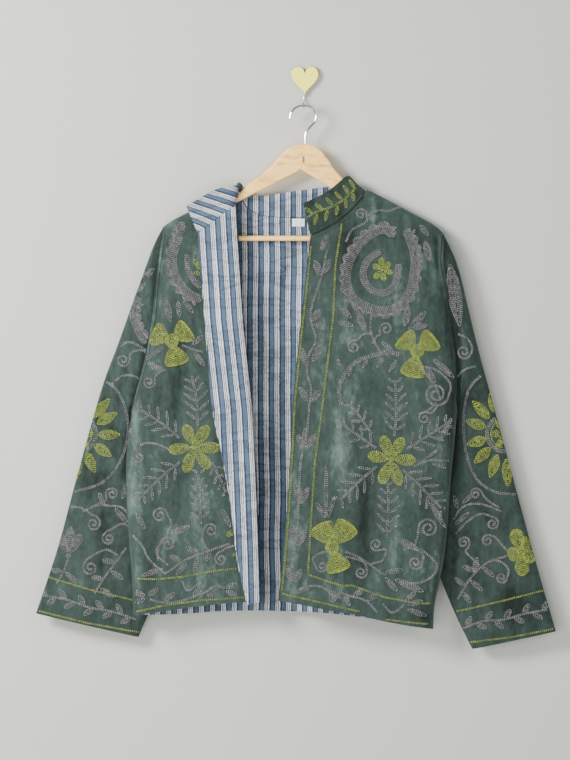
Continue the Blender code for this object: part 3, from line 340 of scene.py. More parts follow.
# Leaves of a vine, in shares of their length: place of the first, step, way ahead and way out, and width
VINE_START = 0.4
VINE_STEP = 0.75
VINE_AHEAD = 0.72
VINE_OUT = 0.7
VINE_WIDTH = 0.5

# Points of a smooth curve between two of its places, of the curve of a band, and of a ring
CURVE_STEPS = 8
BAND_STEPS = 16
RING_POINTS = 40

# Seam under the left half of the collar, in squares
COLLAR_SEAM = [(311, 233.5), (322, 228.5), (334.5, 221.5), (342, 215.8), (348.8, 210), (356.5, 202),
               (362.5, 195)]

# Raised seams: distance between rings in squares, fewest rings, corners of a ring
WELT_STEP = 2.0
WELT_RINGS = 4
WELT_SIDES = 6

# Lines of the armholes, and where their raised seams start on the back
RIGHT_ARMHOLE = [place for place in RIGHT_SEAM if place[1] <= UNDERARM + 1]
LEFT_ARMHOLE = [place for place in LEFT_SEAM if place[1] <= UNDERARM + 1]
BACK_WELT_TOP = 240.0

# Raised seams: name, cloths, line and how far it is moved in squares, radius, and nap with painted highlight
# (above 0) and painted shade (below 0). Some also have the side that they are seen from (1 is the back), and
# how far down they look for cloth where they cross a gap.
WELTS = [
    ("right_armhole_seam", ["front_right_velvet"], RIGHT_ARMHOLE, (2.2, 0.0), 1.0 * MM, 0.10),
    ("left_armhole_seam", ["front_left_velvet"], LEFT_ARMHOLE, (-2.2, 0.0), 1.0 * MM, -0.35),
    ("collar_seam_upper", ["collar_outside", "front_left_velvet"], COLLAR_SEAM, (0.0, 0.0), 1.5 * MM, -0.30),
    ("collar_seam_middle", ["collar_outside", "front_left_velvet"], COLLAR_SEAM, (0.3, 1.2), 1.7 * MM, -0.45,
     -1.0, 3.0 * MM),
    ("collar_seam_lower", ["front_left_velvet"], COLLAR_SEAM, (1.4, 4.4), 0.9 * MM, -0.10),
    ("right_back_armhole_seam", ["back_velvet"],
     [place for place in RIGHT_ARMHOLE if place[1] > BACK_WELT_TOP], (3.0, 0.0), 1.0 * MM, 0.10, 1.0),
    ("left_back_armhole_seam", ["back_velvet"],
     [place for place in LEFT_ARMHOLE if place[1] > BACK_WELT_TOP], (-3.0, 0.0), 1.0 * MM, 0.10, 1.0),
]

# How stitches are laid: how far off the wall the rays start, how much the cloth has to face them, the most
# that one stitch may rise and how deep it is sunk
CAST_FROM = 0.5
FLATTEST = 0.25
STEEPEST_STITCH = 2.5 * MM
SUNK = 0.35 * MM

# A stitch: ranges of its width and height, and, as shares, its half length, how far on it is widest, how
# far out its two strands lie and how high the dip between them is
STITCH_WIDTHS = (0.9, 1.1)
STITCH_HEIGHTS = (0.85, 1.15)
STITCH_HALF = 0.54
STITCH_WIDEST = 0.2
STITCH_TOP = 0.27
STITCH_DIP = 0.35

# Triangles of a stitch on its points: both ends, both sides at the base, both strands on top, and the dip
STITCH_FACES = [(0, 2, 4), (2, 1, 4), (0, 4, 6), (4, 1, 6), (0, 6, 5), (6, 1, 5), (0, 5, 3), (5, 1, 3),
                (0, 3, 1), (0, 1, 2)]
STITCH_POINTS = 7

# Shapes of the petals of the three-petalled flowers and of the half suns on the sleeves
TREFOIL = {"blunt": 0.95, "widest": 0.84}
SUN = {"blunt": 0.9, "start": 0.44, "widest": 0.42}

# A spiral: points along it, how far round it joins its tail, and how much of its radius winds in
SPIRAL_POINTS = 26
SPIRAL_JOIN = 0.7
SPIRAL_WINDS_IN = 0.82

# Column of the middle line of the back
BACK_MIDDLE = 290

# Stage: size of the wall, height of the floor, middle of the view in squares, depth of the cloth
WALL_SIZE = 9.0
FLOOR = -1.35
VIEW_CENTRE = (285.0, 380.0)
CLOTH_DEPTH = -0.045

# Lights: name, place, size in metres, share of the main light's power
LIGHTS = [
    ("key", (-1.85, -1.65, 0.45), 0.9, 1.0),
    ("fill", (1.9, -2.4, 0.4), 2.0, 0.22),
    ("low", (-0.6, -2.4, -1.1), 1.6, 0.38),
    ("behind", (0.0, 2.4, 0.8), 2.0, 0.7),
]
LIGHT_TARGET = (0.0, -0.04, -0.45)
WORLD_COLOUR = (0.86, 0.90, 0.92)
WORLD_STRENGTH = 0.43


def colour_setting(name, description, default):
    return FloatVectorProperty(name=name, description=description, subtype="COLOR", default=default,
                               min=0.0, max=1.0)


def length_setting(name, description, default, low=MM):
    return FloatProperty(name=name, description=description, default=default, min=low, unit="LENGTH")


class VelvetSettings(PropertyGroup):
    colour: colour_setting("Colour", "Pile seen straight on", (0.029, 0.048, 0.041))
    # The light and dark nap colours also carry the painted highlights and painted shade of creases, folds,
    # raised seams and armholes
    light: colour_setting("Light nap", "Pile that leans to the light", (0.116, 0.162, 0.144))
    dark: colour_setting("Dark nap", "Pile that leans away", (0.006, 0.012, 0.009))
    sheen: FloatProperty(name="Sheen", description="Strength of the pile's sheen", default=0.21,
                         min=0.0, max=1.0)


class LiningSettings(PropertyGroup):
    repeat: length_setting("Stripe repeat", "Width of one blue and one white band", 17.3 * MM)
    blue: colour_setting("Blue", "Blue band", (0.055, 0.083, 0.124))
    navy: colour_setting("Navy", "Edges of the blue band", (0.020, 0.030, 0.060))
    white: colour_setting("White", "White band", (0.455, 0.455, 0.462))


class ThreadSettings(PropertyGroup):
    grey: colour_setting("Grey thread", "Leaves, rings and stems", (0.186, 0.176, 0.182))
    lime: colour_setting("Lime thread", "Flowers", (0.275, 0.330, 0.038))
    moss: colour_setting("Moss thread", "Borders and the collar's vine", (0.185, 0.228, 0.038))
    stitch_length: length_setting("Stitch length", "Length of one chain stitch", 3.3 * MM)
    stitch_width: length_setting("Stitch width", "Width of one chain stitch", 2.4 * MM)
    stitch_height: length_setting("Stitch height", "How far a stitch stands off the pile", 1.7 * MM, 0.1 * MM)


class HangerSettings(PropertyGroup):
    beech: colour_setting("Beech", "Lacquered beech", (1.000, 0.600, 0.165))
    grain: colour_setting("Grain", "Darker lines of the beech", (0.600, 0.310, 0.090))
    chrome: colour_setting("Chrome", "Hooks", (0.400, 0.405, 0.415))
    plaque: colour_setting("Plaque", "Paint on the plaque's front", (1.000, 0.950, 0.110))
    # Painted shade of the plaque's rounded edge and sides, and the colour its brush marks lean to
    plaque_rim_shade_and_streaks: colour_setting("Plaque edge", "Darker paint round the edge", (0.280, 0.250, 0.050))


class StageSettings(PropertyGroup):
    wall: colour_setting("Wall", "Wall and floor", (0.478, 0.486, 0.452))
    distance: length_setting("Camera distance", "From the camera to the cloth", 6.0, 1.0)
    frame_width: length_setting("Frame width", "Width of what the camera sees at the cloth", 912.0 * MM, 0.1)
    light: FloatProperty(name="Main light", description="Power of the main light in watts", default=143.0,
                         min=0.0)


def grid_x(squares):
    """Place across, in metres, of a column of the drawing grid."""
    return (np.asarray(squares, float) - GRID_X) * SQUARE


def grid_z(squares):
    """Height, in metres, of a row of the drawing grid."""
    return (GRID_Z - np.asarray(squares, float)) * SQUARE


def line_x(line, z):
    """Place across of a line drawn in squares, at heights in metres."""
    heights = grid_z([p[1] for p in line])[::-1]
    return np.interp(z, heights, grid_x([p[0] for p in line])[::-1])


def moved(line, across, down=0.0):
    """A line of squares, moved."""
    return [(x + across, y + down) for x, y in line]


def soft_step(t):
    t = np.clip(t, 0.0, 1.0)
    return t * t * (3.0 - 2.0 * t)


def ripple(x, z, length, seed):
    """Soft random field of about unit height, the same on each run."""
    random = np.random.default_rng(seed)
    total = np.zeros_like(x)
    for _ in range(RIPPLE_WAVES):
        turn = random.uniform(0.0, math.pi)
        wave = 2.0 * math.pi / (length * random.uniform(*RIPPLE_LENGTHS))
        phase = random.uniform(0.0, RIPPLE_PHASE)
        total += np.sin(wave * (x * math.cos(turn) + z * math.sin(turn)) + phase)
    return total / math.sqrt(RIPPLE_WAVES)


def crease_relief(x, z, creases):
    """Height in metres, and painted highlight on ridges and painted shade in valleys, of soft creases at
    places in metres.
    """
    height = np.zeros_like(x)
    crease_shading = np.zeros_like(x)
    for x0, y0, x1, y1, half_width, rise in creases:
        start = np.array([grid_x(x0), grid_z(y0)])
        along = np.array([grid_x(x1), grid_z(y1)]) - start
        length = math.hypot(*along)
        along /= length
        run = (x - start[0]) * along[0] + (z - start[1]) * along[1]
        off = (x - start[0]) * along[1] - (z - start[1]) * along[0]
        share = run / length
        fade = (soft_step((share + CREASE_PAST_END) / CREASE_FADE)
                * soft_step((1.0 + CREASE_PAST_END - share) / CREASE_FADE))
        bump = fade * np.exp(-(off / (half_width * MM)) ** 2)
        height += bump * rise * MM
        # Painted highlight on a ridge, painted shade in a valley
        crease_shading += bump * rise / CREASE_FULL_SHADING
    return height, crease_shading


def nap_and_shading_patches(x, z):
    """How light the pile lies by the drawn patches, with painted highlights and painted shade among them."""
    value = np.zeros_like(x)
    for cx, cy, half_width, half_height, amount in NAP_AND_SHADING_PATCHES:
        dx = (x - grid_x(cx)) / (half_width * SQUARE)
        dz = (z - grid_z(cy)) / (half_height * SQUARE)
        value += amount * np.exp(-(dx ** 2 + dz ** 2))
    return value


def link_object(name, mesh):
    made = bpy.data.objects.new(name, mesh)
    bpy.context.scene.collection.objects.link(made)
    return made


def mark_inside(bm, outward):
    """Give the inner face of a walled piece the second material.

    The walls' faces are grown from one face without crossing a sharp rim, and outward tells from
    the faces of a region how much it looks outwards.
    """
    regions = []
    left = set(bm.faces)
    while left:
        face = left.pop()
        region = [face]
        for grown in region:
            for edge in grown.edges:
                if edge.smooth:
                    for near in edge.link_faces:
                        if near in left:
                            left.discard(near)
                            region.append(near)
        regions.append(region)
    walls = sorted(regions, key=len)[-2:]
    for face in min(walls, key=outward):
        face.material_index = 1


def looks_to_front(region):
    return -sum(face.normal.y * face.calc_area() for face in region)


def looks_from_middle(region):
    middle = sum((face.calc_center_median() for face in region), Vector()) / len(region)
    return sum((face.calc_center_median() - middle).y * face.normal.y * face.calc_area() for face in region)


def refined_copy(node, name, outward=None):
    """A finer, smoother copy of a cloth solid, with its rims kept sharp."""
    bm = bmesh.new()
    bm.from_mesh(frame["nodes"][node].data)
    bmesh.ops.remove_doubles(bm, verts=bm.verts, dist=SAME_POINT)
    for edge in bm.edges:
        edge.smooth = edge.calc_face_angle(0.0) < RIM_ANGLE
    bmesh.ops.join_triangles(bm, faces=bm.faces, cmp_sharp=True, angle_face_threshold=RIM_ANGLE,
                             angle_shape_threshold=SKEWED_QUAD)
    crease = bm.edges.layers.float.new("crease_edge")
    for edge in bm.edges:
        if not edge.smooth:
            edge[crease] = 1.0
    for face in bm.faces:
        face.smooth = True
        face.material_index = 0
    if outward:
        mark_inside(bm, outward)
    mesh = bpy.data.meshes.new(name)
    bm.to_mesh(mesh)
    bm.free()
    made = link_object(name, mesh)
    bpy.ops.object.select_all(action="DESELECT")
    made.select_set(True)
    bpy.context.view_layer.objects.active = made
    finer = made.modifiers.new("finer", "SUBSURF")
    finer.levels = CLOTH_LEVELS
    finer.render_levels = CLOTH_LEVELS
    bpy.ops.object.modifier_apply(modifier=finer.name)
    return made


def coordinates(mesh):
    """Points of a mesh as an array, and copies of their places across and up."""
    points = np.zeros(len(mesh.vertices) * 3)
    mesh.vertices.foreach_get("co", points)
    points = points.reshape(-1, 3)
    return points, points[:, 0].copy(), points[:, 2].copy()


def set_value(mesh, name, values):
    """Keep one number per point of a mesh."""
    attribute = mesh.attributes.new(name, "FLOAT", "POINT")
    attribute.data.foreach_set("value", np.asarray(values, np.float32))


def set_shape(mesh, points, nap_and_shading):
    """Move the points of a cloth mesh, and keep how light its pile lies and the painted highlights and
    painted shade of its creases and folds.
    """
    mesh.vertices.foreach_set("co", points.ravel())
    mesh.update()
    set_value(mesh, "nap_and_shading", nap_and_shading)


def set_cloth_map(mesh, across, along):
    """UV map in stripe repeats: across the stripes, and along them."""
    layer = mesh.uv_layers.new(name="cloth")
    corners = np.zeros(len(mesh.loops), np.int32)
    mesh.loops.foreach_get("vertex_index", corners)
    layer.data.foreach_set("uv", np.stack([across, along], axis=1)[corners].astype(np.float32).ravel())


def new_material(name):
    """A Principled material, its tree and its shader."""
    made = bpy.data.materials.new(name)
    made.use_nodes = True
    tree = made.node_tree
    return made, tree, tree.nodes["Principled BSDF"]


def feed(slot, value):
    """Link a socket to an input, or set its value. A colour is given without its alpha."""
    if isinstance(value, bpy.types.NodeSocket):
        slot.id_data.links.new(value, slot)
    elif slot.type == "RGBA":
        slot.default_value = (*value, 1.0)
    else:
        slot.default_value = value


def set_node(node, **values):
    """Feed a node's inputs, named with underscores for spaces, and change its other settings."""
    for key, value in values.items():
        slot = node.inputs.get(key.replace("_", " "))
        if slot:
            feed(slot, value)
        else:
            setattr(node, key, value)
    return node


def add_node(tree, kind, **values):
    return set_node(tree.nodes.new("ShaderNode" + kind), **values)


def object_place(tree):
    return add_node(tree, "TexCoord").outputs["Object"]


def attribute(tree, name):
    return add_node(tree, "Attribute", attribute_name=name).outputs["Fac"]


def calc(operation, first, second=None):
    """Add a Math node on a socket and a socket or number, and return its output."""
    node = add_node(first.id_data, "Math", operation=operation)
    feed(node.inputs[0], first)
    if second is not None:
        feed(node.inputs[1], second)
    return node.outputs[0]


def weighted(level, *layers):
    """Sum of a level and of sockets, each times its share."""
    for socket, share in layers:
        level = calc("ADD", calc("MULTIPLY", socket, share), level)
    return level


def mix_colours(tree, factor, first, second, kind="MIX"):
    """Add a colour Mix node that reads sockets or values, and return its output."""
    node = add_node(tree, "Mix", data_type="RGBA", blend_type=kind)
    for slot, value in zip((node.inputs[0], node.inputs[6], node.inputs[7]), (factor, first, second)):
        feed(slot, value)
    return node.outputs[2]


def shaded(tree, colour, level):
    """A colour made lighter or darker by a value."""
    grey = add_node(tree, "CombineColor", Red=level, Green=level, Blue=level)
    return mix_colours(tree, 1.0, colour, grey.outputs[0], "MULTIPLY")


def colour_ramp(tree, factor, stops, interpolation="LINEAR"):
    """Add a ramp of place and colour, and return its output."""
    node = add_node(tree, "ValToRGB", Fac=factor)
    ramp = node.color_ramp
    ramp.interpolation = interpolation
    while len(ramp.elements) > 1:
        ramp.elements.remove(ramp.elements[-1])
    for i, (place, value) in enumerate(stops):
        element = ramp.elements[0] if i == 0 else ramp.elements.new(place)
        element.position = place
        element.color = (*value, 1.0)
    return node.outputs[0]


def noise(tree, vector, scale, detail=2.0, stretch=(1.0, 1.0, 1.0)):
    """Add a Noise node on a stretched vector and return its value."""
    mapping = add_node(tree, "Mapping", Vector=vector, Scale=stretch)
    return add_node(tree, "TexNoise", Vector=mapping.outputs[0], Scale=scale, Detail=detail).outputs[0]


def add_bump(tree, shader, height, strength, distance):
    """Raise a shader's surface by a height, over the bumps that it already has."""
    normal = shader.inputs["Normal"]
    raised = add_node(tree, "Bump", Height=height, Strength=strength, Distance=distance)
    if normal.links:
        feed(raised.inputs["Normal"], normal.links[0].from_socket)
    feed(normal, raised.outputs[0])


def new_group(name, inputs, outputs):
    """A shader node group with named inputs (kind, name, default) and outputs (kind, name)."""
    tree = bpy.data.node_groups.new(name, "ShaderNodeTree")
    for kind, label, value in inputs:
        socket = tree.interface.new_socket(name=label, in_out="INPUT", socket_type="NodeSocket" + kind)
        if value is not None:
            socket.default_value = value
    for kind, label in outputs:
        tree.interface.new_socket(name=label, in_out="OUTPUT", socket_type="NodeSocket" + kind)
    return tree, tree.nodes.new("NodeGroupInput").outputs, tree.nodes.new("NodeGroupOutput").inputs


def fibre_group():
    """Fine fibres and dust that every textile here shows: a tint, a roughness and a height."""
    name = "fibres"
    if name in bpy.data.node_groups:
        return bpy.data.node_groups[name]
    tree, given, result = new_group(
        name,
        [("Color", "Colour", (0.5, 0.5, 0.5, 1.0)), ("Vector", "Vector", None),
         ("Float", "Fibre scale", 700.0), ("Float", "Contrast", 0.3), ("Float", "Roughness", 0.9)],
        [("Color", "Colour"), ("Float", "Roughness"), ("Float", "Height")])
    texture = add_node(tree, "TexNoise", Vector=given["Vector"], Scale=given["Fibre scale"], Detail=3.0)
    centred = calc("SUBTRACT", texture.outputs[0], 0.5)
    spread = calc("MULTIPLY", centred, given["Contrast"])
    feed(result["Colour"], shaded(tree, given["Colour"], weighted(1.0, (spread, 2.0))))
    feed(result["Roughness"], calc("ADD", given["Roughness"], spread))
    feed(result["Height"], texture.outputs[0])
    return tree


def finish_textile(tree, shader, colour, vector, scale, contrast, roughness, bump, distance):
    """Lay the shared fibres over a textile's colour, and feed its shader."""
    group = add_node(tree, "Group", node_tree=fibre_group(), Colour=colour, Vector=vector, Fibre_scale=scale,
                     Contrast=contrast, Roughness=roughness)
    set_node(shader, Base_Color=group.outputs["Colour"], Roughness=group.outputs["Roughness"])
    add_bump(tree, shader, group.outputs["Height"], bump, distance)


def velvet_material():
    """Cotton velvet whose pile is pressed lighter and darker in patches, with painted highlights and painted
    shade read from the mesh's attribute.
    """
    name = "green_velvet"
    if name in bpy.data.materials:
        return bpy.data.materials[name]
    settings = bpy.context.scene.suzani_velvet
    made, tree, shader = new_material(name)
    place = object_place(tree)
    layers = [(noise(tree, place, *kind), share) for *kind, share in VELVET_LAYERS]
    # The mesh's attribute adds pile patches and the painted highlights and painted shade of creases, folds,
    # seams and armholes
    level = weighted(VELVET_LEVEL, *layers, (attribute(tree, "nap_and_shading"), 1.0))
    colour = colour_ramp(tree, level, [(0.0, settings.dark), (0.5, settings.colour), (1.0, settings.light)])
    add_bump(tree, shader, noise(tree, place, *VELVET_PUCKERS), strength=0.55, distance=2.2 * MM)
    finish_textile(tree, shader, colour, place, scale=520.0, contrast=0.35, roughness=0.88, bump=0.5,
                   distance=0.6 * MM)
    set_node(shader, Specular_IOR_Level=0.2, Sheen_Weight=settings.sheen, Sheen_Roughness=0.45,
             Sheen_Tint=VELVET_SHEEN_TINT)
    return made


def stripe_stops(settings):
    """Places of the bands in one repeat: a blue band with navy edges, and a white band with fine lines."""
    blue, navy, white = tuple(settings.blue), tuple(settings.navy), tuple(settings.white)
    fine = tuple(FINE_LINE_WHITE * w + (1.0 - FINE_LINE_WHITE) * n for w, n in zip(white, navy))
    return [(0.0, navy), (0.09, blue), (0.42, navy), (0.51, white), (0.58, fine), (0.655, white),
            (0.74, fine), (0.815, white), (0.94, navy)]


def stripe_group():
    """Woven stripes with slubs. The vector counts repeats across and along the stripes."""
    name = "woven_stripes"
    if name in bpy.data.node_groups:
        return bpy.data.node_groups[name]
    tree, given, result = new_group(name, [("Vector", "Vector", None), ("Float", "Slubs", 0.3)],
                                    [("Color", "Colour")])
    split = add_node(tree, "SeparateXYZ", Vector=given["Vector"])
    wander = calc("SUBTRACT", noise(tree, given["Vector"], WANDER_SCALE), 0.5)
    across = calc("FRACT", weighted(split.outputs[0], (wander, STRIPE_WANDER)))
    bands = colour_ramp(tree, across, stripe_stops(bpy.context.scene.suzani_lining), "CONSTANT")
    weft = noise(tree, given["Vector"], *WEFT_SLUBS)
    warp = noise(tree, given["Vector"], *WARP_SLUBS)
    shade = weighted(1.0, (weighted(-1.0, (weft, 1.0), (warp, 1.0)), given["Slubs"]))
    feed(result["Colour"], shaded(tree, bands, shade))
    return tree


def lining_material():
    """Striped cotton, read from the piece's own map, with the painted highlight and shade of its pressed
    creases from its own attribute, and painted light and shade over its crumples.
    """
    name = "striped_lining"
    if name in bpy.data.materials:
        return bpy.data.materials[name]
    made, tree, shader = new_material(name)
    place = object_place(tree)
    cloth = add_node(tree, "UVMap", uv_map="cloth").outputs[0]
    stripes = add_node(tree, "Group", node_tree=stripe_group(), Slubs=0.85, Vector=cloth)
    crumple = noise(tree, place, *LINING_CRUMPLES)
    # Painted shade lines along the crumples' ridges, and painted light and shade by the crumples' height
    ridge = calc("ABSOLUTE", calc("SUBTRACT", crumple, 0.5))
    away = calc("MINIMUM", calc("MULTIPLY", ridge, CRUMPLE_SHARPNESS), 1.0)
    shade = weighted(LINING_LEVEL, *zip((attribute(tree, "nap_and_shading"), away, crumple), LINING_SHARES))
    add_bump(tree, shader, crumple, strength=0.7, distance=2.5 * MM)
    finish_textile(tree, shader, shaded(tree, stripes.outputs[0], shade), place, scale=900.0, contrast=0.18,
                   roughness=0.92, bump=0.35, distance=0.3 * MM)
    set_node(shader, Specular_IOR_Level=0.25)
    return made


def thread_material(name, colour):
    """Wool thread, a little uneven in its dye."""
    if name in bpy.data.materials:
        return bpy.data.materials[name]
    made, tree, shader = new_material(name)
    place = object_place(tree)
    dyed = colour_ramp(tree, noise(tree, place, *DYE_NOISE),
                       [(at, [min(1.0, gain * c) for c in colour]) for at, gain in THREAD_DYE])
    toned = shaded(tree, dyed, attribute(tree, "tone"))
    finish_textile(tree, shader, toned, place, scale=1500.0, contrast=0.3, roughness=0.85, bump=0.6,
                   distance=0.3 * MM)
    set_node(shader, Specular_IOR_Level=0.25, Sheen_Weight=0.15)
    return made


def wood_material():
    """Lacquered beech with long grain, short flecks, the glued joint under the crown and painted shade in the
    slot in its middle.
    """
    name = "lacquered_beech"
    if name in bpy.data.materials:
        return bpy.data.materials[name]
    settings = bpy.context.scene.suzani_hanger
    made, tree, shader = new_material(name)
    place = object_place(tree)
    grain = noise(tree, place, *WOOD_GRAIN)
    fleck = noise(tree, place, *WOOD_FLECKS)
    pale = [min(1.0, PALE_WOOD * c) for c in settings.beech]
    colour = colour_ramp(tree, weighted(0.0, *zip((grain, fleck), WOOD_SHARES)),
                         list(zip(WOOD_TONES, (settings.grain, settings.beech, pale))))
    across, _, up = add_node(tree, "SeparateXYZ", Vector=place).outputs
    leaning = weighted(-JOINT_BOTTOM[0] - JOINT_LEAN * JOINT_BOTTOM[1], (across, 1.0), (up, -JOINT_LEAN))
    joint = calc("LESS_THAN", calc("ABSOLUTE", leaning), JOINT_WIDTH / 2)
    colour = mix_colours(tree, calc("MULTIPLY", joint, JOINT_STRENGTH), colour, settings.grain)
    # Painted shade in the slot in the hanger's middle
    middles = (grid_x(SLOT_SHADE_PLACE[0]), grid_z(SLOT_SHADE_PLACE[1]))
    within = [calc("LESS_THAN", calc("ABSOLUTE", calc("SUBTRACT", socket, float(middle))), half)
              for socket, middle, half in zip((across, up), middles, SLOT_SHADE_HALF)]
    slot_shade = calc("MULTIPLY", calc("MULTIPLY", *within), SLOT_SHADE_STRENGTH)
    set_node(shader, Base_Color=mix_colours(tree, slot_shade, colour, SLOT_SHADE_COLOUR), Coat_Weight=0.25,
             Roughness=weighted(WOOD_ROUGHNESS, (fleck, UNEVEN_ROUGHNESS)))
    add_bump(tree, shader, grain, strength=0.12, distance=0.2 * MM)
    return made


def chrome_material():
    """Polished chrome with faint wear."""
    name = "polished_chrome"
    if name in bpy.data.materials:
        return bpy.data.materials[name]
    made, tree, shader = new_material(name)
    wear = noise(tree, object_place(tree), *CHROME_WEAR)
    set_node(shader, Base_Color=bpy.context.scene.suzani_hanger.chrome, Metallic=1.0,
             Roughness=weighted(CHROME_ROUGHNESS, (wear, WORN_ROUGHNESS)))
    return made


def plaque_material():
    """Painted wood with brushed-on paint, and painted shade on its rounded edge and sides."""
    name = "painted_heart"
    if name in bpy.data.materials:
        return bpy.data.materials[name]
    settings = bpy.context.scene.suzani_hanger
    made, tree, shader = new_material(name)
    place = object_place(tree)
    brush = noise(tree, place, *PLAQUE_BRUSH)
    depth = add_node(tree, "SeparateXYZ", Vector=place).outputs[1]
    inwards = calc("SUBTRACT", depth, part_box("wall_plaque")[0].y)
    uneven = calc("MULTIPLY", calc("SUBTRACT", brush, 0.5), PLAQUE_UNEVEN)
    # Painted shade on the plaque's rounded edge and sides, behind its front face
    edge = calc("GREATER_THAN", calc("ADD", inwards, uneven), PLAQUE_RIM_SHADE_DEPTH)
    colour = mix_colours(tree, edge, settings.plaque, settings.plaque_rim_shade_and_streaks)
    streaked = mix_colours(tree, calc("MULTIPLY", brush, BRUSH_MARKS), colour, settings.plaque_rim_shade_and_streaks)
    set_node(shader, Base_Color=streaked, Roughness=weighted(PLAQUE_ROUGHNESS, (brush, UNEVEN_ROUGHNESS)))
    add_bump(tree, shader, brush, strength=0.15, distance=0.2 * MM)
    return made


def tape_material():
    """White woven tape."""
    name = "white_tape"
    if name in bpy.data.materials:
        return bpy.data.materials[name]
    made, tree, shader = new_material(name)
    place = object_place(tree)
    colour = colour_ramp(tree, noise(tree, place, *TAPE_RIBS), [(0.3, TAPE_DARK), (0.6, TAPE_LIGHT)])
    finish_textile(tree, shader, colour, place, scale=1800.0, contrast=0.12, roughness=0.8, bump=0.3,
                   distance=0.2 * MM)
    return made


def slow_change(x, z, name):
    """Nap or shade that changes slowly over a piece."""
    share, stretch, length, seed = SLOW_CHANGES[name]
    return share * ripple(x, z * stretch, length, seed)


def seam_fade(x, z, top):
    """Share of the relief at places in metres: none at the seams, which neighbours share.

    Pieces without a top seam are the sleeves, which have no side seam below the underarm.
    """
    fade = np.ones_like(x)
    for seam in (RIGHT_SEAM, LEFT_SEAM):
        away = soft_step(np.abs(x - line_x(seam, z)) / SEAM_FADE)
        if not top:
            away = np.maximum(away, soft_step((grid_z(UNDERARM) - z) / SEAM_FADE))
        fade *= away
    if top:
        top_z = np.interp(x, grid_x([p[0] for p in top]), grid_z([p[1] for p in top]))
        fade *= soft_step((top_z - z) / SEAM_FADE)
    return fade


def relief(x, z, name):
    """Height in metres, and painted highlight on ridges and painted shade in valleys, of a relief of the
    table at places in metres.
    """
    creases, gain, stretch, length, rise, seed, top = RELIEFS[name]
    height, crease_shading = crease_relief(x, z, creases)
    height = gain * height + ripple(x, z * stretch, length, seed) * rise
    return height * seam_fade(x, z, top), crease_shading


def stand_for(piece, node, slot, *materials):
    """Give a finished piece its materials, let it ride on the body and stand for its node; the slot is not
    used.
    """
    for material in materials:
        piece.data.materials.append(material)
    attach(piece, "root")
    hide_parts(node)


class SUZANI_OT_fronts(Operator):
    """Make both velvet fronts, creased, with lining on their inside"""
    bl_idname = "suzani.fronts"
    bl_label = "Fronts"

    def execute(self, context):
        repeat = context.scene.suzani_lining.repeat
        for node, flat, area in (("front_right", (0.40, 0.72), 0.15), ("front_left", (0.32, 0.74), 0.165)):
            piece = refined_copy(node, node + "_velvet", looks_to_front)
            points, x, z = coordinates(piece.data)
            height, crease_shading = relief(x, z, "front")
            points[:, 1] -= height
            # Pile patches with painted highlights and painted shade, and the painted highlight and shade of
            # the creases
            set_shape(piece.data, points, PATCH_SHARE * nap_and_shading_patches(x, z) + CREASE_SHADING_SHARE * crease_shading)
            set_cloth_map(piece.data, x / repeat, z / repeat)
            stand_for(piece, node, "velvet", velvet_material(), lining_material())
        return {"FINISHED"}


class SUZANI_OT_back(Operator):
    """Make the velvet back and its striped lining"""
    bl_idname = "suzani.back"
    bl_label = "Back"

    def execute(self, context):
        repeat = context.scene.suzani_lining.repeat
        piece = refined_copy("back_panel", "back_velvet")
        points, x, z = coordinates(piece.data)
        height, crease_shading = relief(x, z, "back")
        points[:, 1] += height
        # Painted highlight and painted shade of the back's creases, over slow changes of its pile
        set_shape(piece.data, points, CREASE_SHADING_SHARE * crease_shading + slow_change(x, z, "back"))
        stand_for(piece, "back_panel", "velvet", velvet_material())

        lining = refined_copy("back_lining", "back_stripes")
        points, x, z = coordinates(lining.data)
        height, _ = relief(x, z, "back")
        pressed, crease_shading = crease_relief(x, z, LINING_CREASES)
        off_seams = seam_fade(x, z, BACK_TOP)
        points[:, 1] += height - np.maximum(pressed, 0.0) * off_seams
        # Painted highlight and painted shade of the lining's creases
        set_shape(lining.data, points, BACK_CREASE_SHADE * crease_shading * off_seams)
        drift = ripple(x * DRIFT_ACROSS, z, DRIFT_LENGTH, DRIFT_SEED) * STRIPE_DRIFT
        set_cloth_map(lining.data, (x + drift) / repeat + BACK_STRIPE_SHIFT, z / repeat)
        stand_for(lining, "back_lining", "striped_cotton", lining_material())
        return {"FINISHED"}


class SUZANI_OT_lapel_lining(Operator):
    """Make the striped lining of the folded lapel"""
    bl_idname = "suzani.lapel_lining"
    bl_label = "Lapel lining"

    def execute(self, context):
        repeat = context.scene.suzani_lining.repeat
        piece = refined_copy("lapel_lining", "lapel_stripes")
        points, x, z = coordinates(piece.data)
        height, crease_shading = relief(x, z, "front")
        points[:, 1] -= height
        # Painted highlight and painted shade of the lapel lining's creases
        set_shape(piece.data, points, LAPEL_CREASE_SHADE * crease_shading)
        set_cloth_map(piece.data, (x - line_x(LAPEL_FOLD, z)) / repeat + LAPEL_STRIPE_SHIFT, z / repeat)
        stand_for(piece, "lapel_lining", "striped_cotton", lining_material())
        return {"FINISHED"}


